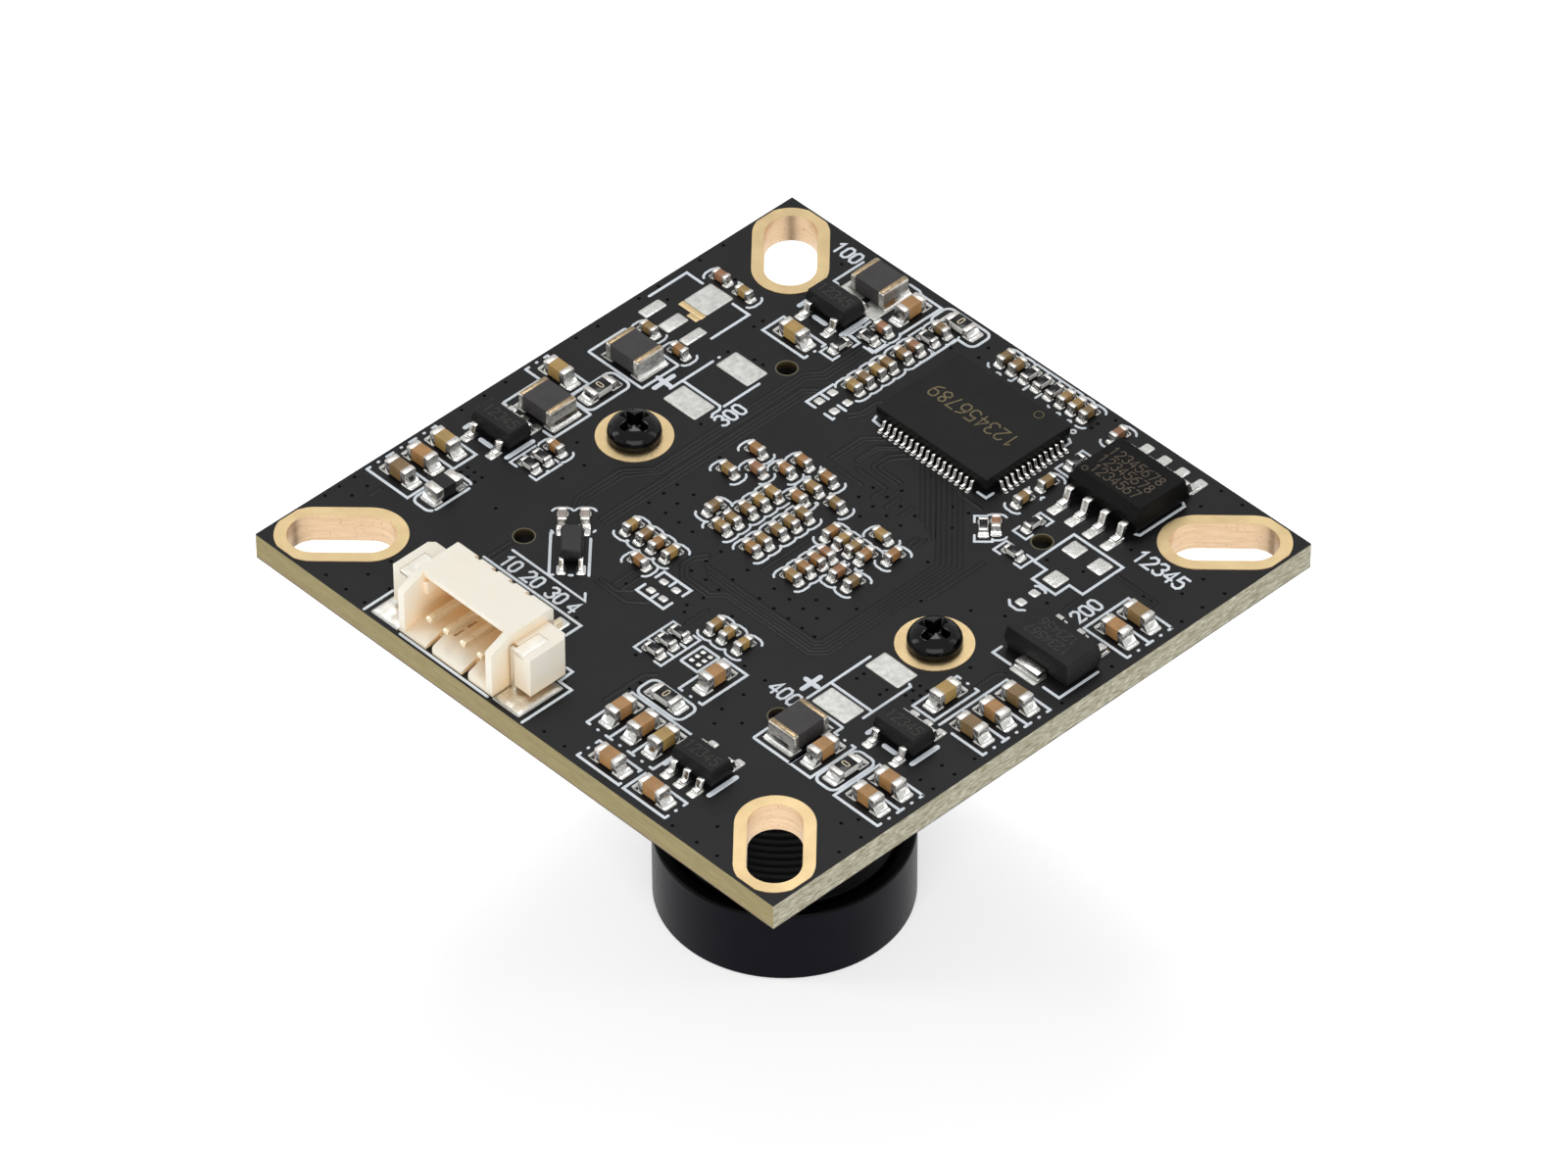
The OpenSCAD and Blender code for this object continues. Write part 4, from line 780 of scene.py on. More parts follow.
def row_lines(x0, y0, x1, y1, side, count):
    """Outline of places in a row. Each has two stubs and a dot across its marked end."""
    flip = side in ("left", "down")
    upright = side in ("up", "down")
    deep, wide = (y1 - y0, x1 - x0) if upright else (x1 - x0, y1 - y0)

    def at(u, v):
        u = deep - u if flip else u
        return (x0 + v, y0 + u) if upright else (x0 + u, y0 + v)

    step = wide / count
    stub, dot = 0.22, 0.02
    out = [[at(deep, 0), at(0, 0), at(0, wide), at(deep, wide)]]
    for k in range(count):
        low, middle, high = k * step, (k + 0.5) * step, (k + 1) * step
        out.append([at(0, low), at(deep, low)])
        out += [[at(deep, low), at(deep, low + stub)], [at(deep, high - stub), at(deep, high)]]
        out.append([at(deep, middle - dot), at(deep, middle + dot)])
    return out


def clear_runs(points, pads):
    """Stretches of a line that leave room round every pad."""
    reach, step = 3.0, 0.05
    (x0, x1), (y0, y1) = ((min(c) - reach, max(c) + reach) for c in zip(*points))
    near = [pad for pad in pads if x0 < pad[0] < x1 and y0 < pad[1] < y1]

    def clear(p):
        for x, y, _, turn, l, w, _ in near:
            u, v = turned(p[0] - x, p[1] - y, -turn)
            if abs(u) < l / 2 + PAD_ROOM and abs(v) < w / 2 + PAD_ROOM:
                return False
        return True

    runs, inside = [], False
    for i, (a, b) in enumerate(zip(points, points[1:])):
        n = max(2, math.ceil(math.dist(a, b) / step))
        for k in range(n + (i == len(points) - 2)):
            p = (a[0] + (b[0] - a[0]) * k / n, a[1] + (b[1] - a[1]) * k / n)
            before, inside = inside, clear(p)
            if inside and not before:
                runs.append([])
            if inside:
                runs[-1].append((p, k in (0, n)))
    # Dots and closed outlines keep shorter stretches than other lines
    shortest = min(3, len(runs[0])) if runs and math.dist(points[0], points[-1]) < 0.1 else 4
    runs = [r for r in runs if len(r) >= shortest]
    return [[p for i, (p, corner) in enumerate(r) if corner or i in (0, len(r) - 1)] for r in runs]


def make_silk():
    pile = Pile()
    pads = boxes("solder_pads")
    lines = list(SILK_LINES)
    for row in SILK_ROWS:
        lines += row_lines(*row)
    lines += [round_box(*corners, 0.06) for corners in SILK_BOXES]
    lines += [round_box(*corners, 0.42) for corners in SILK_ROUND_BOXES]
    for points in lines:
        for run in clear_runs(points, pads):
            strip(pile, run, SILK_W, SILK_H)
    for points in SILK_BARS:
        strip(pile, points, BAR_W, SILK_H)
    for text, x, y, high, turn in SILK_NUMBERS:
        number(pile, text, x, y, high, NUMBER_W, turn)
    # Dot at the flash memory's first lead
    strip(pile, arc(4.5, 16.4, 0.14, 0, 330, 10), 0.12, SILK_H)
    # Arcs beside the tiny capacitors and brackets beside the tiny resistors, as points along and across them
    arcs = ((0.76, 0.54), (0.9, 0.43), (0.99, 0.2), (0.99, -0.2), (0.9, -0.43), (0.76, -0.54))
    brackets = ((0.5, 0.46), (0.98, 0.46), (0.98, -0.46), (0.5, -0.46))
    for node, shape in (("tiny_capacitors", arcs), ("tiny_resistors", brackets)):
        for box in boxes(node):
            for side in (-1, 1):
                for run in clear_runs([off(box, side * u, v)[:2] for u, v in shape], pads):
                    strip(pile, run, FINE_W, SILK_H)
    pile.piece("silk_print", [SILK])


TRACE_W, TRACE_H = 0.19, 0.015
# Width and height of the darker band under each trace, painted shade along its edges
TRACE_SHADE_W, TRACE_SHADE_H = 0.34, 0.003
# Bundles of traces: first line, how many, and the step from one to the next at each point
TRACES = [
    # Left of the middle, from the top left group down to the diode array
    ([(-7.85, 13.3), (-7.85, 10.4), (-8.5, 9.6), (-8.5, -1.0), (-9.62, -2.3), (-9.62, -5.3), (-9.2, -6.0)], 3,
     [(0.25, 0), (0.25, -0.1), (0.25, -0.1), (0.25, 0), (0.26, -0.1), (0.26, 0), (0.26, 0)]),
    ([(-6.95, 9.35), (-7.6, 8.7), (-7.6, -5.6)], 3, [(0, -0.3), (0.26, -0.1), (0.26, 0)]),
    # From the processor to the right and round the middle
    ([(2.2, 9.0), (6.9, 4.25), (6.9, -3.95), (6.65, -4.2), (-1.2, -4.2)], 3,
     [(0.4, 0), (0.23, 0.17), (0.23, -0.1), (0.11, -0.22), (0.35, -0.22)]),
    ([(3.4, 9.0), (7.59, 4.76), (7.59, -4.25), (6.98, -4.86), (1.0, -4.86), (0.4, -5.5), (-1.3, -5.5),
      (-1.95, -4.9), (-1.95, -4.3), (-1.6, -3.75)], 2,
     [(0.4, 0), (0.23, 0.17), (0.23, -0.1), (0.11, -0.22), (0.1, -0.22), (0.1, -0.25), (-0.1, -0.25),
      (-0.27, -0.1), (-0.27, 0.1), (-0.2, 0.2)]),
    ([(1.0, 9.0), (3.9, 6.1)], 3, [(0.4, 0), (0.7, -0.3)]),
    ([(0.92, 6.4), (0.92, 5.5)], 3, [(1.0, 0), (1.0, 0)]),
    ([(4.75, 4.9), (4.75, 4.3)], 2, [(0.35, 0.2), (0.35, 0)]),
    ([(8.4, 6.0), (8.4, 2.1)], 1, []),
    ([(0.95, 0.9), (0.95, -2.3)], 1, []),
    # Below the processor
    ([(-2.1, 9.0), (-2.78, 8.3), (-2.78, 6.1)], 2, [(0.3, 0), (0.26, -0.05), (0.26, 0)]),
    ([(-1.05, 9.0), (-1.72, 8.3), (-1.72, 6.9)], 2, [(0.25, 0), (0.2, -0.05), (0.2, 0)]),
    ([(-0.3, 9.0), (-0.8, 8.3), (-0.8, 7.25), (-0.6, 7.05), (1.1, 7.05)], 2,
     [(0.45, 0), (0.3, -0.1), (0.3, 0.2), (0.25, 0.25), (0.0, 0.25)]),
    ([(-1.2, 6.45), (0.8, 6.45)], 1, []),
    ([(-2.0, 5.75), (-0.2, 5.75)], 1, []),
    ([(3.5, 9.05), (3.9, 8.82), (5.4, 8.82)], 1, []),
    ([(-3.7, 11.3), (-4.2, 10.8), (-4.2, 9.6), (-4.6, 9.1)], 2,
     [(0.25, 0.1), (0.25, 0), (0.25, 0), (0.25, -0.2)]),
    # Near the lower corner and the sides
    ([(-4.2, -8.75), (-3.05, -8.75), (-2.45, -8.15)], 2, [(-0.1, -0.25), (0.95, -0.25), (1.2, -0.05)]),
    ([(1.2, -6.5), (1.2, -7.9)], 1, []),
    ([(-3.55, -7.1), (-3.55, -8.4)], 2, [(0.6, 0), (0.6, 0)]),
    ([(2.45, -14.8), (2.45, -12.1), (2.9, -11.6)], 1, []),
    ([(10.6, -0.9), (11.2, -0.9)], 1, []),
    ([(13.6, 10.2), (16.6, 10.2), (16.6, 9.7)], 1, []),
    ([(13.75, 7.7), (13.75, 6.6)], 1, []),
    ([(15.0, 0.9), (14.75, 0.6), (14.75, -0.6)], 1, []),
    ([(-9.5, -12.0), (-9.5, -10.1)], 2, [(0.35, 0), (0.35, 0)]),
    ([(-17.1, -12.1), (-17.1, -12.9)], 1, []),
]

# Locating holes, each with a rim of bare laminate
HOLES = [(-9.35, 9.3), (9.35, 9.3), (-9.35, -9.3), (9.35, -9.3)]
HOLE_R, RIM_W, RIM_H = 0.55, 0.08, 0.004


def make_traces():
    pile = Pile()
    for points, count, steps in TRACES:
        for i in range(count):
            moved = [(x + i * a, y + i * b) for (x, y), (a, b) in zip(points, steps)] if i else points
            # Darker band first, painted shade along both edges of the trace, then the trace on it
            strip(pile, moved, TRACE_SHADE_W, TRACE_SHADE_H, slot=1)
            strip(pile, moved, TRACE_W, TRACE_H, shoulder=0.5)
    for x, y in HOLES:
        strip(pile, arc(x, y, HOLE_R + 0.03, 0, 360, 32), RIM_W, RIM_H, slot=2)
    pile.piece("mask_over_traces", [TRACE, TRACE_SHADE, BARE])


# Places of single vias, and blocks of vias as x and y values
VIAS = [
    (-18.7, 13.7), (-16.3, 12.25), (-12.9, 11.0), (-12.9, 10.35), (-18.7, 12.0), (-18.7, 9.0), (-17.6, 8.6),
    (-18.7, 7.6), (-12.4, 8.0), (-11.0, 8.55), (-10.4, 8.6), (-13.3, 17.1), (-18.6, 4.55), (-18.7, 3.1),
    (-18.7, -1.9), (-18.7, -3.4), (-18.7, -5.0), (-12.7, -2.45), (-11.15, -3.4), (-11.2, -4.9), (-9.3, 3.1),
    (-6.75, 2.0), (-6.75, -1.0), (-6.75, -1.95), (-6.75, -3.0), (-18.7, -12.45), (-17.75, -12.45),
    (-18.7, -13.5), (-17.75, -13.5), (-18.7, -14.5), (-12.65, -15.45), (-12.75, -16.95), (-11.2, -16.9),
    (-14.2, -18.5), (-12.7, -18.5), (-11.3, -18.5), (0.5, -7.4), (0.2, -6.95), (-3.1, -8.05), (1.1, -11.35),
    (2.75, -12.6), (2.7, -13.3), (5.5, -8.0), (4.3, -10.3), (-3.0, -11.6), (2.0, -18.5), (3.5, -18.5),
    (7.0, -8.0), (7.0, -9.5), (7.0, -11.0), (8.45, -11.0), (7.5, -12.0), (17.6, -7.5), (18.5, -7.5),
    (18.5, -6.0), (17.6, -6.0), (17.5, -11.7), (17.1, -12.5), (18.5, -12.5), (18.5, -14.0), (13.0, -17.05),
    (13.1, -18.55), (14.5, -18.5), (11.4, -18.6), (8.25, 1.75), (10.5, 3.05), (12.0, 4.0), (13.5, 0.05),
    (18.4, 5.2), (18.4, -4.5), (18.55, 1.5), (12.8, 6.2), (12.4, 9.2), (10.5, 8.5), (15.85, 10.1),
    (16.35, 10.15), (18.5, 10.1), (18.5, 11.6), (17.05, 11.6), (17.05, 13.15), (18.55, 13.15),
    (12.95, 12.1), (14.5, 18.6), (13.0, 18.6), (13.1, 17.0), (5.4, 18.6), (-3.2, 17.9), (-3.0, 17.0),
    (4.95, 17.75), (4.95, 17.3), (-4.55, 16.5), (1.9, 8.85), (4.3, 7.9), (5.4, 6.75), (5.2, 8.15),
    (-5.6, -0.95), (-5.7, -2.0), (-1.5, -5.0), (-0.5, -4.95), (0.5, -5.0), (0.4, -6.0), (2.4, -5.9),
    (4.5, -2.0), (5.4, -2.0), (6.4, -1.0), (6.4, 4.05), (1.5, 4.0), (1.6, 6.9), (-11.9, -8.9),
]
VIA_ROWS = [
    ((0.4, 1.42, 2.42, 3.45), (6.02, 5.0)), ((-5.6, -4.6, -3.6, -1.5, 0.45, 2.4, 3.5, 4.5, 5.5), (-2.93,)),
    ((-1.5, 0.45, 2.4, 3.45, 4.5, 5.5, 6.4), (-3.97,)), ((-15.2, -14.68, -14.12), (-7.8, -8.28)),
    ((12.7, 13.22), (-2.7, -3.2, -3.72)), ((10.1, 11.75), (-4.1, -4.6)),
]


def make_vias():
    pile = Pile()
    # Each via a small spun shape in near black, painted shade of its hole
    shape = spun([(0, 0), (0.105, 0), (0.1, 0.007), (0.08, 0.011), (0.05, 0.008), (0, 0.006)], 12)
    for x, y in VIAS + [(x, y) for xs, ys in VIA_ROWS for x in xs for y in ys]:
        pile.set_down(shape, (x, y, TOP, 0))
    pile.piece("via_dimples", [VIA_HOLE_SHADE])


def make_pads():
    """Domed solder on every pad, and bare gold where one was left without."""
    pile = Pile()
    low, high = (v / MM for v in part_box("processor_leads"))
    middle = ((low.x + high.x) / 2, (low.y + high.y) / 2)
    for box in boxes("solder_pads"):
        x, y, z, turn, l, w, h = box
        if low.x - 0.2 < x < high.x + 0.2 and low.y - 0.2 < y < high.y + 0.2 and w < 0.25:
            # The processor's pads end with its leads
            trim = 0.15
            ends = [off(box, way)[:2] for way in (-trim / 2, trim / 2)]
            x, y = min(ends, key=lambda end: math.dist(end, middle))
            l -= trim
        big = l * w > 1.2
        crown, lift = (0.06, 0.0) if big else (0.05, 0.004)
        pile.set_down(pillow(l, w, min(0.12, w * 0.3), crown, lift), (x, y, z, turn), int(big))
    pile.piece("solder_on_pads", [SOLDER, TIN_PAD], ("solder_pads",))
    bare = Pile()
    for x, y, l, w in ((-16.08, 8.94, 1.75, 0.4), (-15.62, 8.6, 0.74, 0.36)):
        bare.set_down(pillow(l, w, 0.05, 0.02), (x, y, TOP, 0))
    bare.piece("bare_gold", [GOLD])


def make_pools():
    """Lumpy solder round the connector's two nails, over their pads."""
    pile = Pile()
    for box in boxes("solder_pads"):
        x, y, z, turn, l, w, h = box
        by_connector = abs(x + 5.1) < 5.0 and y < -11.0
        if l * w < 3.0 or not by_connector:
            continue
        grid = []
        for i in range(-12, 13):
            row = []
            for j in range(-12, 13):
                u, v = i / 12 * l * 0.49, j / 12 * w * 0.49
                rise = min(1.0, 4 - abs(i) / 3, 4 - abs(j) / 3) ** 0.5
                lump = 0.5 + 0.5 * noise.noise(Vector((u * 1.9 + x, v * 1.9, 1.0)))
                row.append((u, v, 0.02 + rise * (0.04 + 0.08 * lump)))
            grid.append(row)
        pile.set_down(heap(grid, 0.0), box[:4])
    pile.piece("solder_pools", [POOL], weighted=False)


def fillet(box, side, past, climb):
    """Concave solder fillet from a part's end face down to its pad's edge."""
    l, w = box[4:6]
    grid = []
    for i in range(7):
        t = i / 6
        run = l / 2 - 0.04 + (past + 0.02) * t
        rise = 0.02 + climb * (1 - t) ** 2.8
        half = w / 2 * (0.97 + 0.1 * t)
        across = (k / 3 for k in range(-3, 4))
        grid.append([(side * run, side * v * half, rise * (1 - 0.3 * abs(v) ** 3)) for v in across])
    return heap(grid, -0.05)


def make_chip_passives(fillets, name, node, materials, r, past, climb, tone_of):
    """Two-ended chip parts, each a body with wrapped ends that solder climbs."""
    parts = Pile()
    for box in boxes(node):
        x, y, z, turn, l, w, h = box
        cap = l * 0.27 * rng.uniform(0.9, 1.1)
        turn += rng.uniform(-1.2, 1.2)
        tone = tone_of(box)
        parts.set_down(block(l - 0.08, w - 0.045, h - 0.045, r * 0.5), (x, y, z + 0.02, turn), 0, tone)
        for side in (-1, 1):
            parts.set_down(block(cap, w, h, r), off((x, y, z, turn), side * (l - cap) / 2), 1, tone)
            fillets.set_down(fillet(box, side, past, climb * h), (x, y, z, turn))
    parts.piece(name, materials, (node,))


def capacitor_tone(box):
    """Brown of a capacitor's ceramic: pale for the two by the diode array, otherwise at random."""
    if box[3] % 90 == 45 and box[0] < 0:
        return 0.85
    if box[4] > 1.3:
        return rng.choice((0.0, 0.0, 0.02, 0.4, 0.38, 0.2, 0.24))
    return rng.choice((1.0, 1.0, 0.2, 0.24, 0.55, 0.5, 0.7, 0.45))


def make_resistors(fillets):
    pile = Pile()
    marks = Pile()
    for node, past in (("tiny_resistors", 0.2), ("zero_ohm_links", 0.42)):
        for box in boxes(node):
            x, y, z, turn, l, w, h = box
            cap = l * 0.2
            pile.set_down(block(l - 0.06, w - 0.03, h - 0.07, 0.02), (x, y, z + 0.02, turn), 0)
            pile.set_down(block(l - 2 * cap + 0.05, w - 0.09, 0.05, 0.015), (x, y, z + h - 0.055, turn), 1)
            for side in (-1, 1):
                pile.set_down(block(cap, w, h, 0.03), off(box, side * (l - cap) / 2), 2)
                fillets.set_down(fillet(box, side, past, 0.75 * h), box[:4])
            if node == "zero_ohm_links":
                number(marks, "0", x, y, 0.46, 0.06, turn, z + h - 0.006, 0.008, wide=0.65)
    pile.piece("resistor_parts", [ALUMINA, FILM, TERMINAL], ("tiny_resistors",))
    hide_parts("zero_ohm_links")
    marks.piece("link_marks", [MARK_CREAM])


def make_coils(fillets):
    """Wire-wound inductors: a moulded block between two folded metal ends."""
    pile = Pile()
    for box in boxes("power_inductors"):
        x, y, z, turn, l, w, h = box
        cap = 0.17 * l
        pile.set_down(block(l - 0.2, w - 0.08, h - 0.06, 0.08), (x, y, z + 0.04, turn), 0)
        for side in (-1, 1):
            pile.set_down(block(cap, w, h, 0.15, 4), off(box, side * (l / 2 - cap / 2)), 1)
            fillets.set_down(fillet(box, side, 0.28, 0.45 * h), box[:4])
    pile.piece("inductor_parts", [COIL, COIL_END], ("power_inductors",))


def make_passives():
    fillets = Pile()
    make_chip_passives(fillets, "small_capacitor_parts", "small_capacitors", [CERAMIC, TERMINAL],
                       0.09, 0.42, 0.62, capacitor_tone)
    make_chip_passives(fillets, "tiny_capacitor_parts", "tiny_capacitors", [CERAMIC, TERMINAL],
                       0.06, 0.2, 0.7, capacitor_tone)
    make_chip_passives(fillets, "bead_parts", "ferrite_bead", [BEAD, TERMINAL],
                       0.07, 0.3, 0.5, lambda box: 0)
    make_resistors(fillets)
    make_coils(fillets)
    fillets.piece("solder_fillets", [SOLDER], sharp=60, weighted=False)


def make_chips():
    refined("processor_body", 0.05, CHIP_DARK, reshape=steepen)
    refined("flash_body", 0.05, CHIP_BLACK, bend=20, reshape=slant_edge)
    refined("regulator_body", 0.05, CHIP)
    refined("small_chip_bodies", 0.05, CHIP)
    refined("diode_array_body", 0.05, CHIP_LIGHT)
    refined("processor_leads", 0.03, LEAD, reshape=draw_in)
    # Leads with solder round their feet, and how high it rises
    solder = Pile()
    for node, rise in (("flash_leads", 0.16), ("regulator_leads", 0.2), ("small_chip_leads", 0.12),
                       ("diode_array_leads", 0.1)):
        refined(node, 0.03, LEAD)
        for points in islands(node):
            low = min(p[2] for p in points)
            x, y, z, turn, l, w, h = box_of([p for p in points if p[2] < low + 0.01])
            solder.set_down(pillow(l + 0.14, w + 0.1, 0.06, rise * 0.7), (x, y, low - 0.03, turn))
    solder.piece("solder_at_leads", [SOLDER], weighted=False)


MARK_H = 0.006
# Laser marks of a node's solids: texts of the rows, their middle, step, height, turn and material
CHIP_MARKS = (
    ("processor_body", ("123456789",), 0.0, 0.0, 0.0, 0.9, 180, 0),
    ("flash_body", ("12345678", "12345678", "1234567"), -0.1, 0.8, -0.8, 0.62, 0, 1),
    ("regulator_body", ("123456", "1234567"), 0.0, 0.4, -0.8, 0.55, 180, 2),
    ("small_chip_bodies", ("12345",), 0.0, 0.0, 0.0, 0.62, 0, 2),
)


def make_chip_marks():
    """Rows of plain numbers, and a ring at the first lead."""
    marks = Pile()
    for node, texts, dx, dy, step, high, turn, slot in CHIP_MARKS:
        for x, y, z, _, _, _, h in boxes(node):
            for i, text in enumerate(texts):
                spot = (x + dx, y + dy + i * step)
                number(marks, text, *spot, high, high * 0.11, turn, z + h - MARK_H / 2, MARK_H, slot)
    rings = (("processor_body", 2.3, 2.47, 0.26, 0), ("flash_body", -1.9, -1.2, 0.16, 1))
    for node, dx, dy, r, slot in rings:
        x, y, z, _, _, _, h = boxes(node)[0]
        strip(marks, arc(x + dx, y + dy, r, 0, 350, 18), 0.05, MARK_H, z + h - MARK_H / 2, slot)
    marks.piece("chip_marks", [MARK_GOLD, MARK_BROWN, MARK_GREY])


def cut_away(solid, tools):
    """A shape less some others, with a small round on the edges that this leaves above z = 0.3."""
    made = []
    for verts, faces in [solid] + tools:
        mesh = bpy.data.meshes.new("cut")
        mesh.from_pydata(verts, [], faces)
        made.append(placed("cut", mesh))
    for tool in made[1:]:
        cut = made[0].modifiers.new("cut", "BOOLEAN")
        cut.operation = "DIFFERENCE"
        cut.solver = "EXACT"
        cut.object = tool
    bm = bmesh.new()
    bm.from_mesh(made[0].evaluated_get(bpy.context.evaluated_depsgraph_get()).to_mesh())
    for obj in made:
        bpy.data.objects.remove(obj)
    bmesh.ops.remove_doubles(bm, verts=bm.verts, dist=1e-4)
    edges = [e for e in bm.edges if len(e.link_faces) == 2 and e.calc_face_angle(0) > math.radians(40)
             and min(v.co.z for v in e.verts) > 0.3]
    bmesh.ops.bevel(bm, geom=edges, offset=0.03, segments=2, profile=0.5, affect="EDGES", clamp_overlap=True)
    return mesh_lists(bm)


def make_screws():
    """Domed screws with a tapered cross recess, their heads 1.1 mm high over z = 0."""
    section = [(0, -5.99), (0.5, -5.99), (0.85, -5.5), (0.85, 0.0), (1.3, 0.0), (1.42, 0.1), (1.445, 0.3),
               (1.4, 0.52), (1.27, 0.74), (1.06, 0.91), (0.78, 1.02), (0.45, 1.08), (0.0, 1.095)]
    verts, faces = block(2.1, 0.56, 1.0, 0.14, 3)
    arm = [(x * (0.62 + 0.38 * z), y * (0.66 + 0.34 * z), z + 0.3) for x, y, z in verts]
    across = [(-y, x, z) for x, y, z in arm]
    shape = cut_away(spun(section, 48), [(arm, faces), (across, faces)])
    pile = Pile()
    for x, y, z, _, _, _, h in boxes("holder_screws"):
        pile.set_down(shape, (x, y, z + h - 1.1, 0 if x < 0 else 8))
    pile.piece("screws_shaped", [SCREW], ("holder_screws",))


def make_barrel():
    """Barrel turned from its section, with a helical M12 thread on the shaft."""
    low, high = (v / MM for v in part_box("lens_barrel"))
    length = high.z - low.z
    head_r, head_h, relief, edge_r = high.x, 4.6, 0.8, 0.18
    shaft_r, bore_r, mouth_r, thread_h, pitch = 6.0, 4.22, 5.62, 0.24, 0.5
    per_turn, steps = 8, 128
    start, stop = head_h - relief, length - 0.35
    rim = head_r - 0.6
    section = [(shaft_r, start), (rim - 0.06, start), (rim, start + 0.06), (rim, head_h - 0.08)]
    section += [(rim + 0.06, head_h), (head_r - edge_r, head_h)]
    for z, turn in ((head_h - edge_r, 90), (edge_r, 0)):
        section += arc(head_r - edge_r, z, edge_r, turn, turn - 90, 4)
    section += [(head_r - 0.5, 0), (head_r - 0.56, 0.02), (6.1, 0.28), (mouth_r + 0.1, 0.66), (mouth_r, 0.72)]
    section += [(mouth_r, 2.6), (bore_r, 2.6), (bore_r, length - 0.1), (bore_r + 0.1, length)]
    section += [(5.55, length), (shaft_r - 0.1, length - 0.3), (shaft_r, stop)]
    turned_rows = [[(r, z)] * (steps + 1) for r, z in section]
    thread_rows = []
    for n in range(-per_turn, int((stop - start) / pitch * per_turn) + per_turn + 1):
        row = []
        for k in range(steps + 1):
            z = min(max(start + (n / per_turn + k / steps) * pitch, start), stop)
            fade = min(1.0, max(0.0, (z - start - 0.5) / 0.4), max(0.0, (stop - z) / 0.3))
            wave = abs(((z - start) / pitch - k / steps) % 1.0 * 2 - 1)
            row.append((shaft_r - thread_h * fade * min(1.0, max(0.0, (wave - 0.12) / 0.78)), z))
        thread_rows.append(row)
    verts, faces = [], []
    for rows in (turned_rows, thread_rows):
        for n, row in enumerate(rows):
            a = len(verts)
            verts += [(*polar(r, 360 * k / steps), z) for k, (r, z) in enumerate(row)]
            if n:
                faces += [[a + k, a + k + 1, a + k - steps, a + k - steps - 1] for k in range(steps)]
    verts, faces = joined(verts, faces, 2e-4)
    pile = Pile()
    for face in faces:
        lowest, highest = (pick(verts[i][2] for i in face) for pick in (min, max))
        # Faces on the crests get the lighter crest material, a painted highlight
        crest_highlight = min(math.hypot(*verts[i][:2]) for i in face) > shaft_r - 0.02
        crest_highlight = crest_highlight and lowest > head_h + 0.2 and highest < stop - 0.2
        pile.slots.append((2 if crest_highlight else 1) if lowest > start - 0.01 else 0)
    pile.verts, pile.faces, pile.tones = verts, faces, [0.5] * len(faces)
    pile.piece("lens_barrel_threaded", [BARREL, SHAFT, CREST_HIGHLIGHT], ("lens_barrel",), "lens", 35)


# Nodes that keep their own shape
DRESSED = {
    "circuit_board": MASK, "slot_plating": GOLD, "screw_lands": GOLD, "infrared_filter": FILTER,
    "sensor_package": FR4, "sensor_die": DIE, "sensor_cover_glass": GLASS, "front_element": GLASS,
    "second_element": GLASS, "third_element": GLASS, "rear_element": GLASS, "front_keeper_ring": RING,
    "long_spacer": RING, "stop_ring": RING, "short_spacer": RING, "rear_keeper_ring": RING,
}


def dress_nodes():
    for node, material in DRESSED.items():
        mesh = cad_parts[node].data
        mesh.materials.clear()
        mesh.materials.append(material)


def direction(azimuth, elevation):
    """Direction that azimuth and elevation in radians point to, seen from the board's middle."""
    return Vector((math.sin(azimuth) * math.cos(elevation), -math.cos(azimuth) * math.cos(elevation),
                   math.sin(elevation)))


def place_camera():
    """Camera that sees the board's middle as the photograph does."""
    azimuth, elevation, roll = (math.radians(a) for a in (46.213, 42.380, -0.286))
    distance, focal, width = 547.68, 10980.563, 1600
    aim = (798.967 - 800, 600 - 549.841)
    back = direction(azimuth, elevation)
    level = Vector((math.cos(azimuth), math.sin(azimuth), 0))
    above = back.cross(level)
    right = math.cos(roll) * level + math.sin(roll) * above
    up = -math.sin(roll) * level + math.cos(roll) * above
    spot = Vector((0, 0, TOP)) + back * distance - (right * aim[0] + up * aim[1]) * distance / focal
    data = bpy.data.cameras.new("view")
    data.sensor_width = 36.0
    data.lens = focal / width * data.sensor_width
    data.clip_start, data.clip_end = 0.01, 10.0
    camera = placed("view", data)
    matrix = camera.matrix_world.to_3x3()
    matrix.col[0], matrix.col[1], matrix.col[2] = right, up, back
    camera.matrix_world = matrix.to_4x4()
    camera.location = spot * MM
    bpy.context.scene.camera = camera


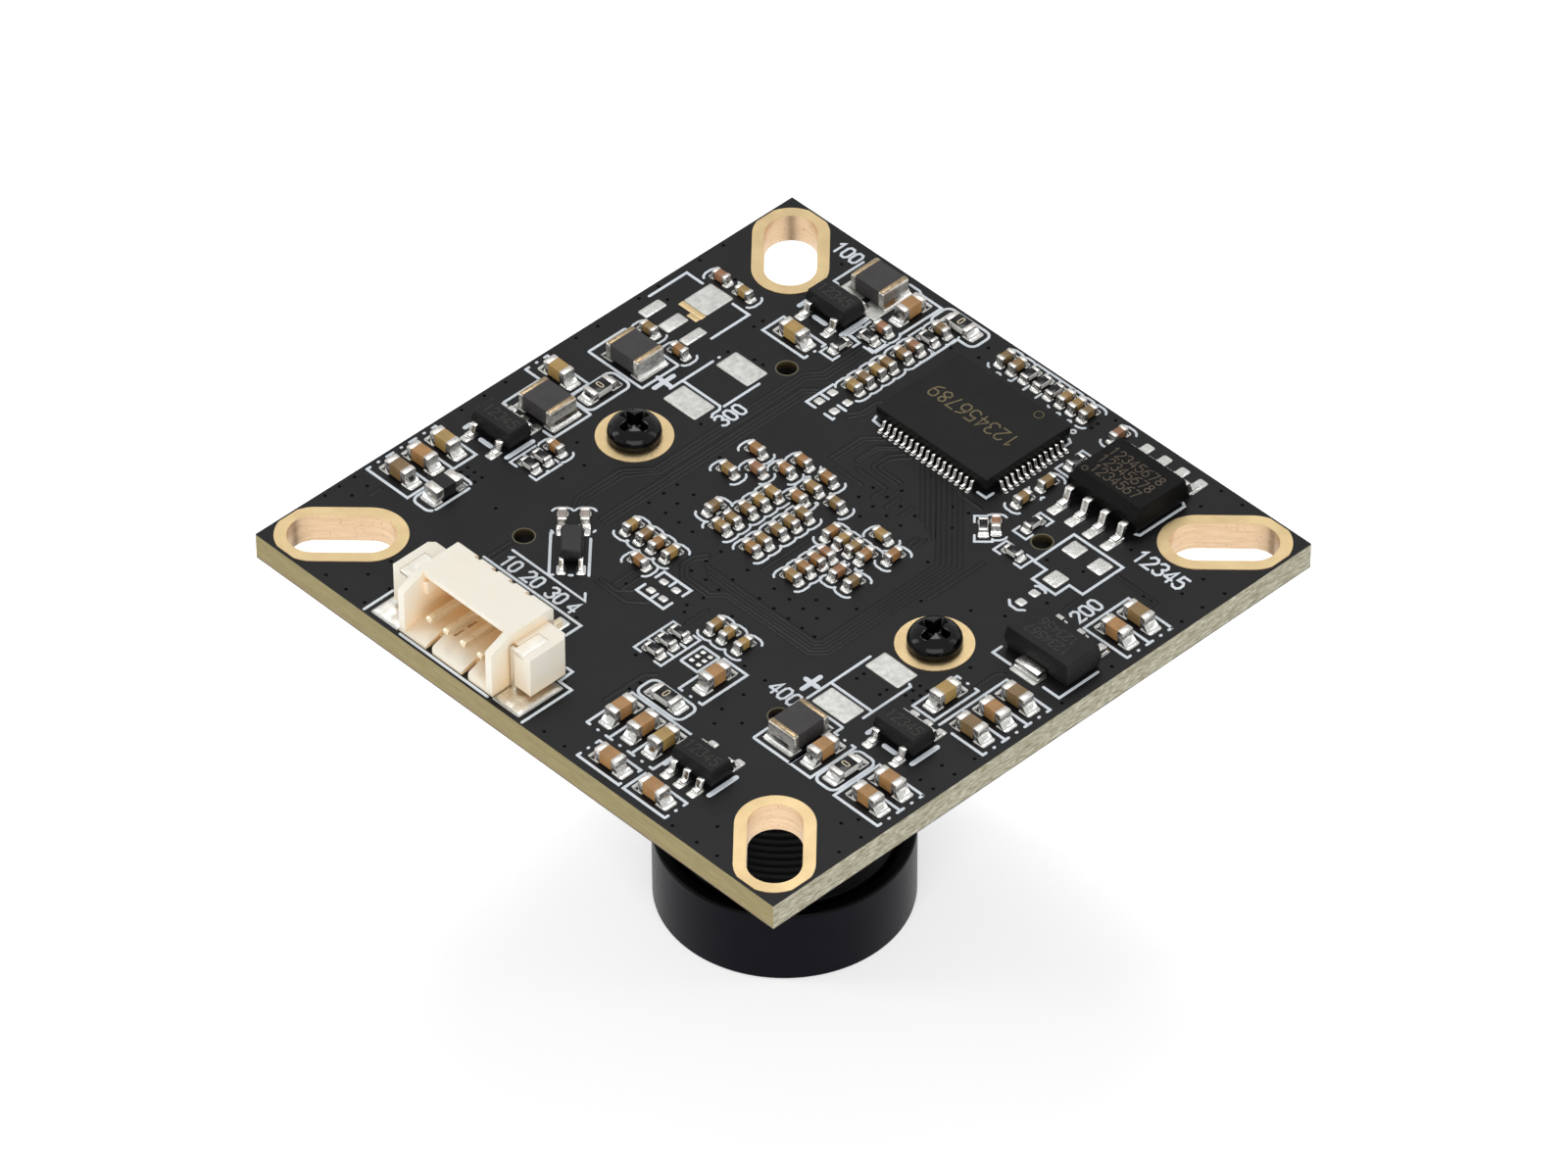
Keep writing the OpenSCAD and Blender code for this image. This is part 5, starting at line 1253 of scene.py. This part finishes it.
def lamp(name, azimuth, elevation, distance, size, share):
    """Soft square lamp aimed at the board; share is the level that it gives a white face turned to it."""
    data = bpy.data.lights.new(name, "AREA")
    data.shape = "RECTANGLE"
    data.size, data.size_y = size
    data.energy = share * math.pi ** 2 * distance ** 2
    obj = placed(name, data)
    way = direction(math.radians(azimuth), math.radians(elevation))
    obj.location = way * distance + Vector((0, 0, TOP * MM))
    obj.rotation_euler = way.to_track_quat("Z", "Y").to_euler()


# Light that the surroundings give, and what the floor adds to its own white where it is seen
SKY_LEVEL = 0.38
FLOOR_GLOW = 0.5


def make_world():
    world = bpy.data.worlds.new("studio")
    bpy.context.scene.world = world
    n = Nodes(world)
    sky = n.node("Background", Strength=n.span(n.background_seen(), SKY_LEVEL, 1.0, 0.0, 1.0))
    n.node("OutputWorld", Surface=sky.outputs[0])


def make_floor():
    """Pale floor under the lens, which keeps the object's shadow."""
    p = Paint("floor", Roughness=0.9, Specular_IOR_Level=0.0, Emission_Color=(1, 1, 1, 1))
    glow = p.calc("MULTIPLY", p.background_seen(), FLOOR_GLOW)
    pale = p.shade(p.noise(60.0), (246, 246, 246), (250, 250, 250))
    mesh = bpy.data.meshes.new("floor")
    half = 2.0
    corners = [(-half, -half, 0), (half, -half, 0), (half, half, 0), (-half, half, 0)]
    mesh.from_pydata(corners, [], [(0, 1, 2, 3)])
    mesh.materials.append(p.done(Base_Color=pale, Emission_Strength=glow))
    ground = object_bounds()[0][2] - 0.00002
    floor = placed("floor", mesh)
    floor.location.z = ground


make_silk()
make_traces()
make_vias()
make_pads()
make_pools()
make_passives()
make_chips()
make_chip_marks()
refined("connector_housing", 0.07, CREAM, segments=3)
refined("connector_contacts", 0.025, CONTACT)
refined("connector_nails", 0.05, NAIL)
make_screws()
make_barrel()
refined("lens_holder", 0.12, HOLDER, segments=3, bend=40)
dress_nodes()
make_floor()
make_world()
place_camera()
lamp("key", 226, 66, 0.6, (0.22, 0.22), 0.32)
lamp("fill", 46, 22, 0.6, (0.7, 0.35), 0.6)
lamp("left", -50, 20, 0.6, (0.15, 0.5), 0.22)
lamp("right", 140, 25, 0.6, (0.15, 0.5), 0.1)
bpy.context.scene.view_settings.view_transform = "Standard"
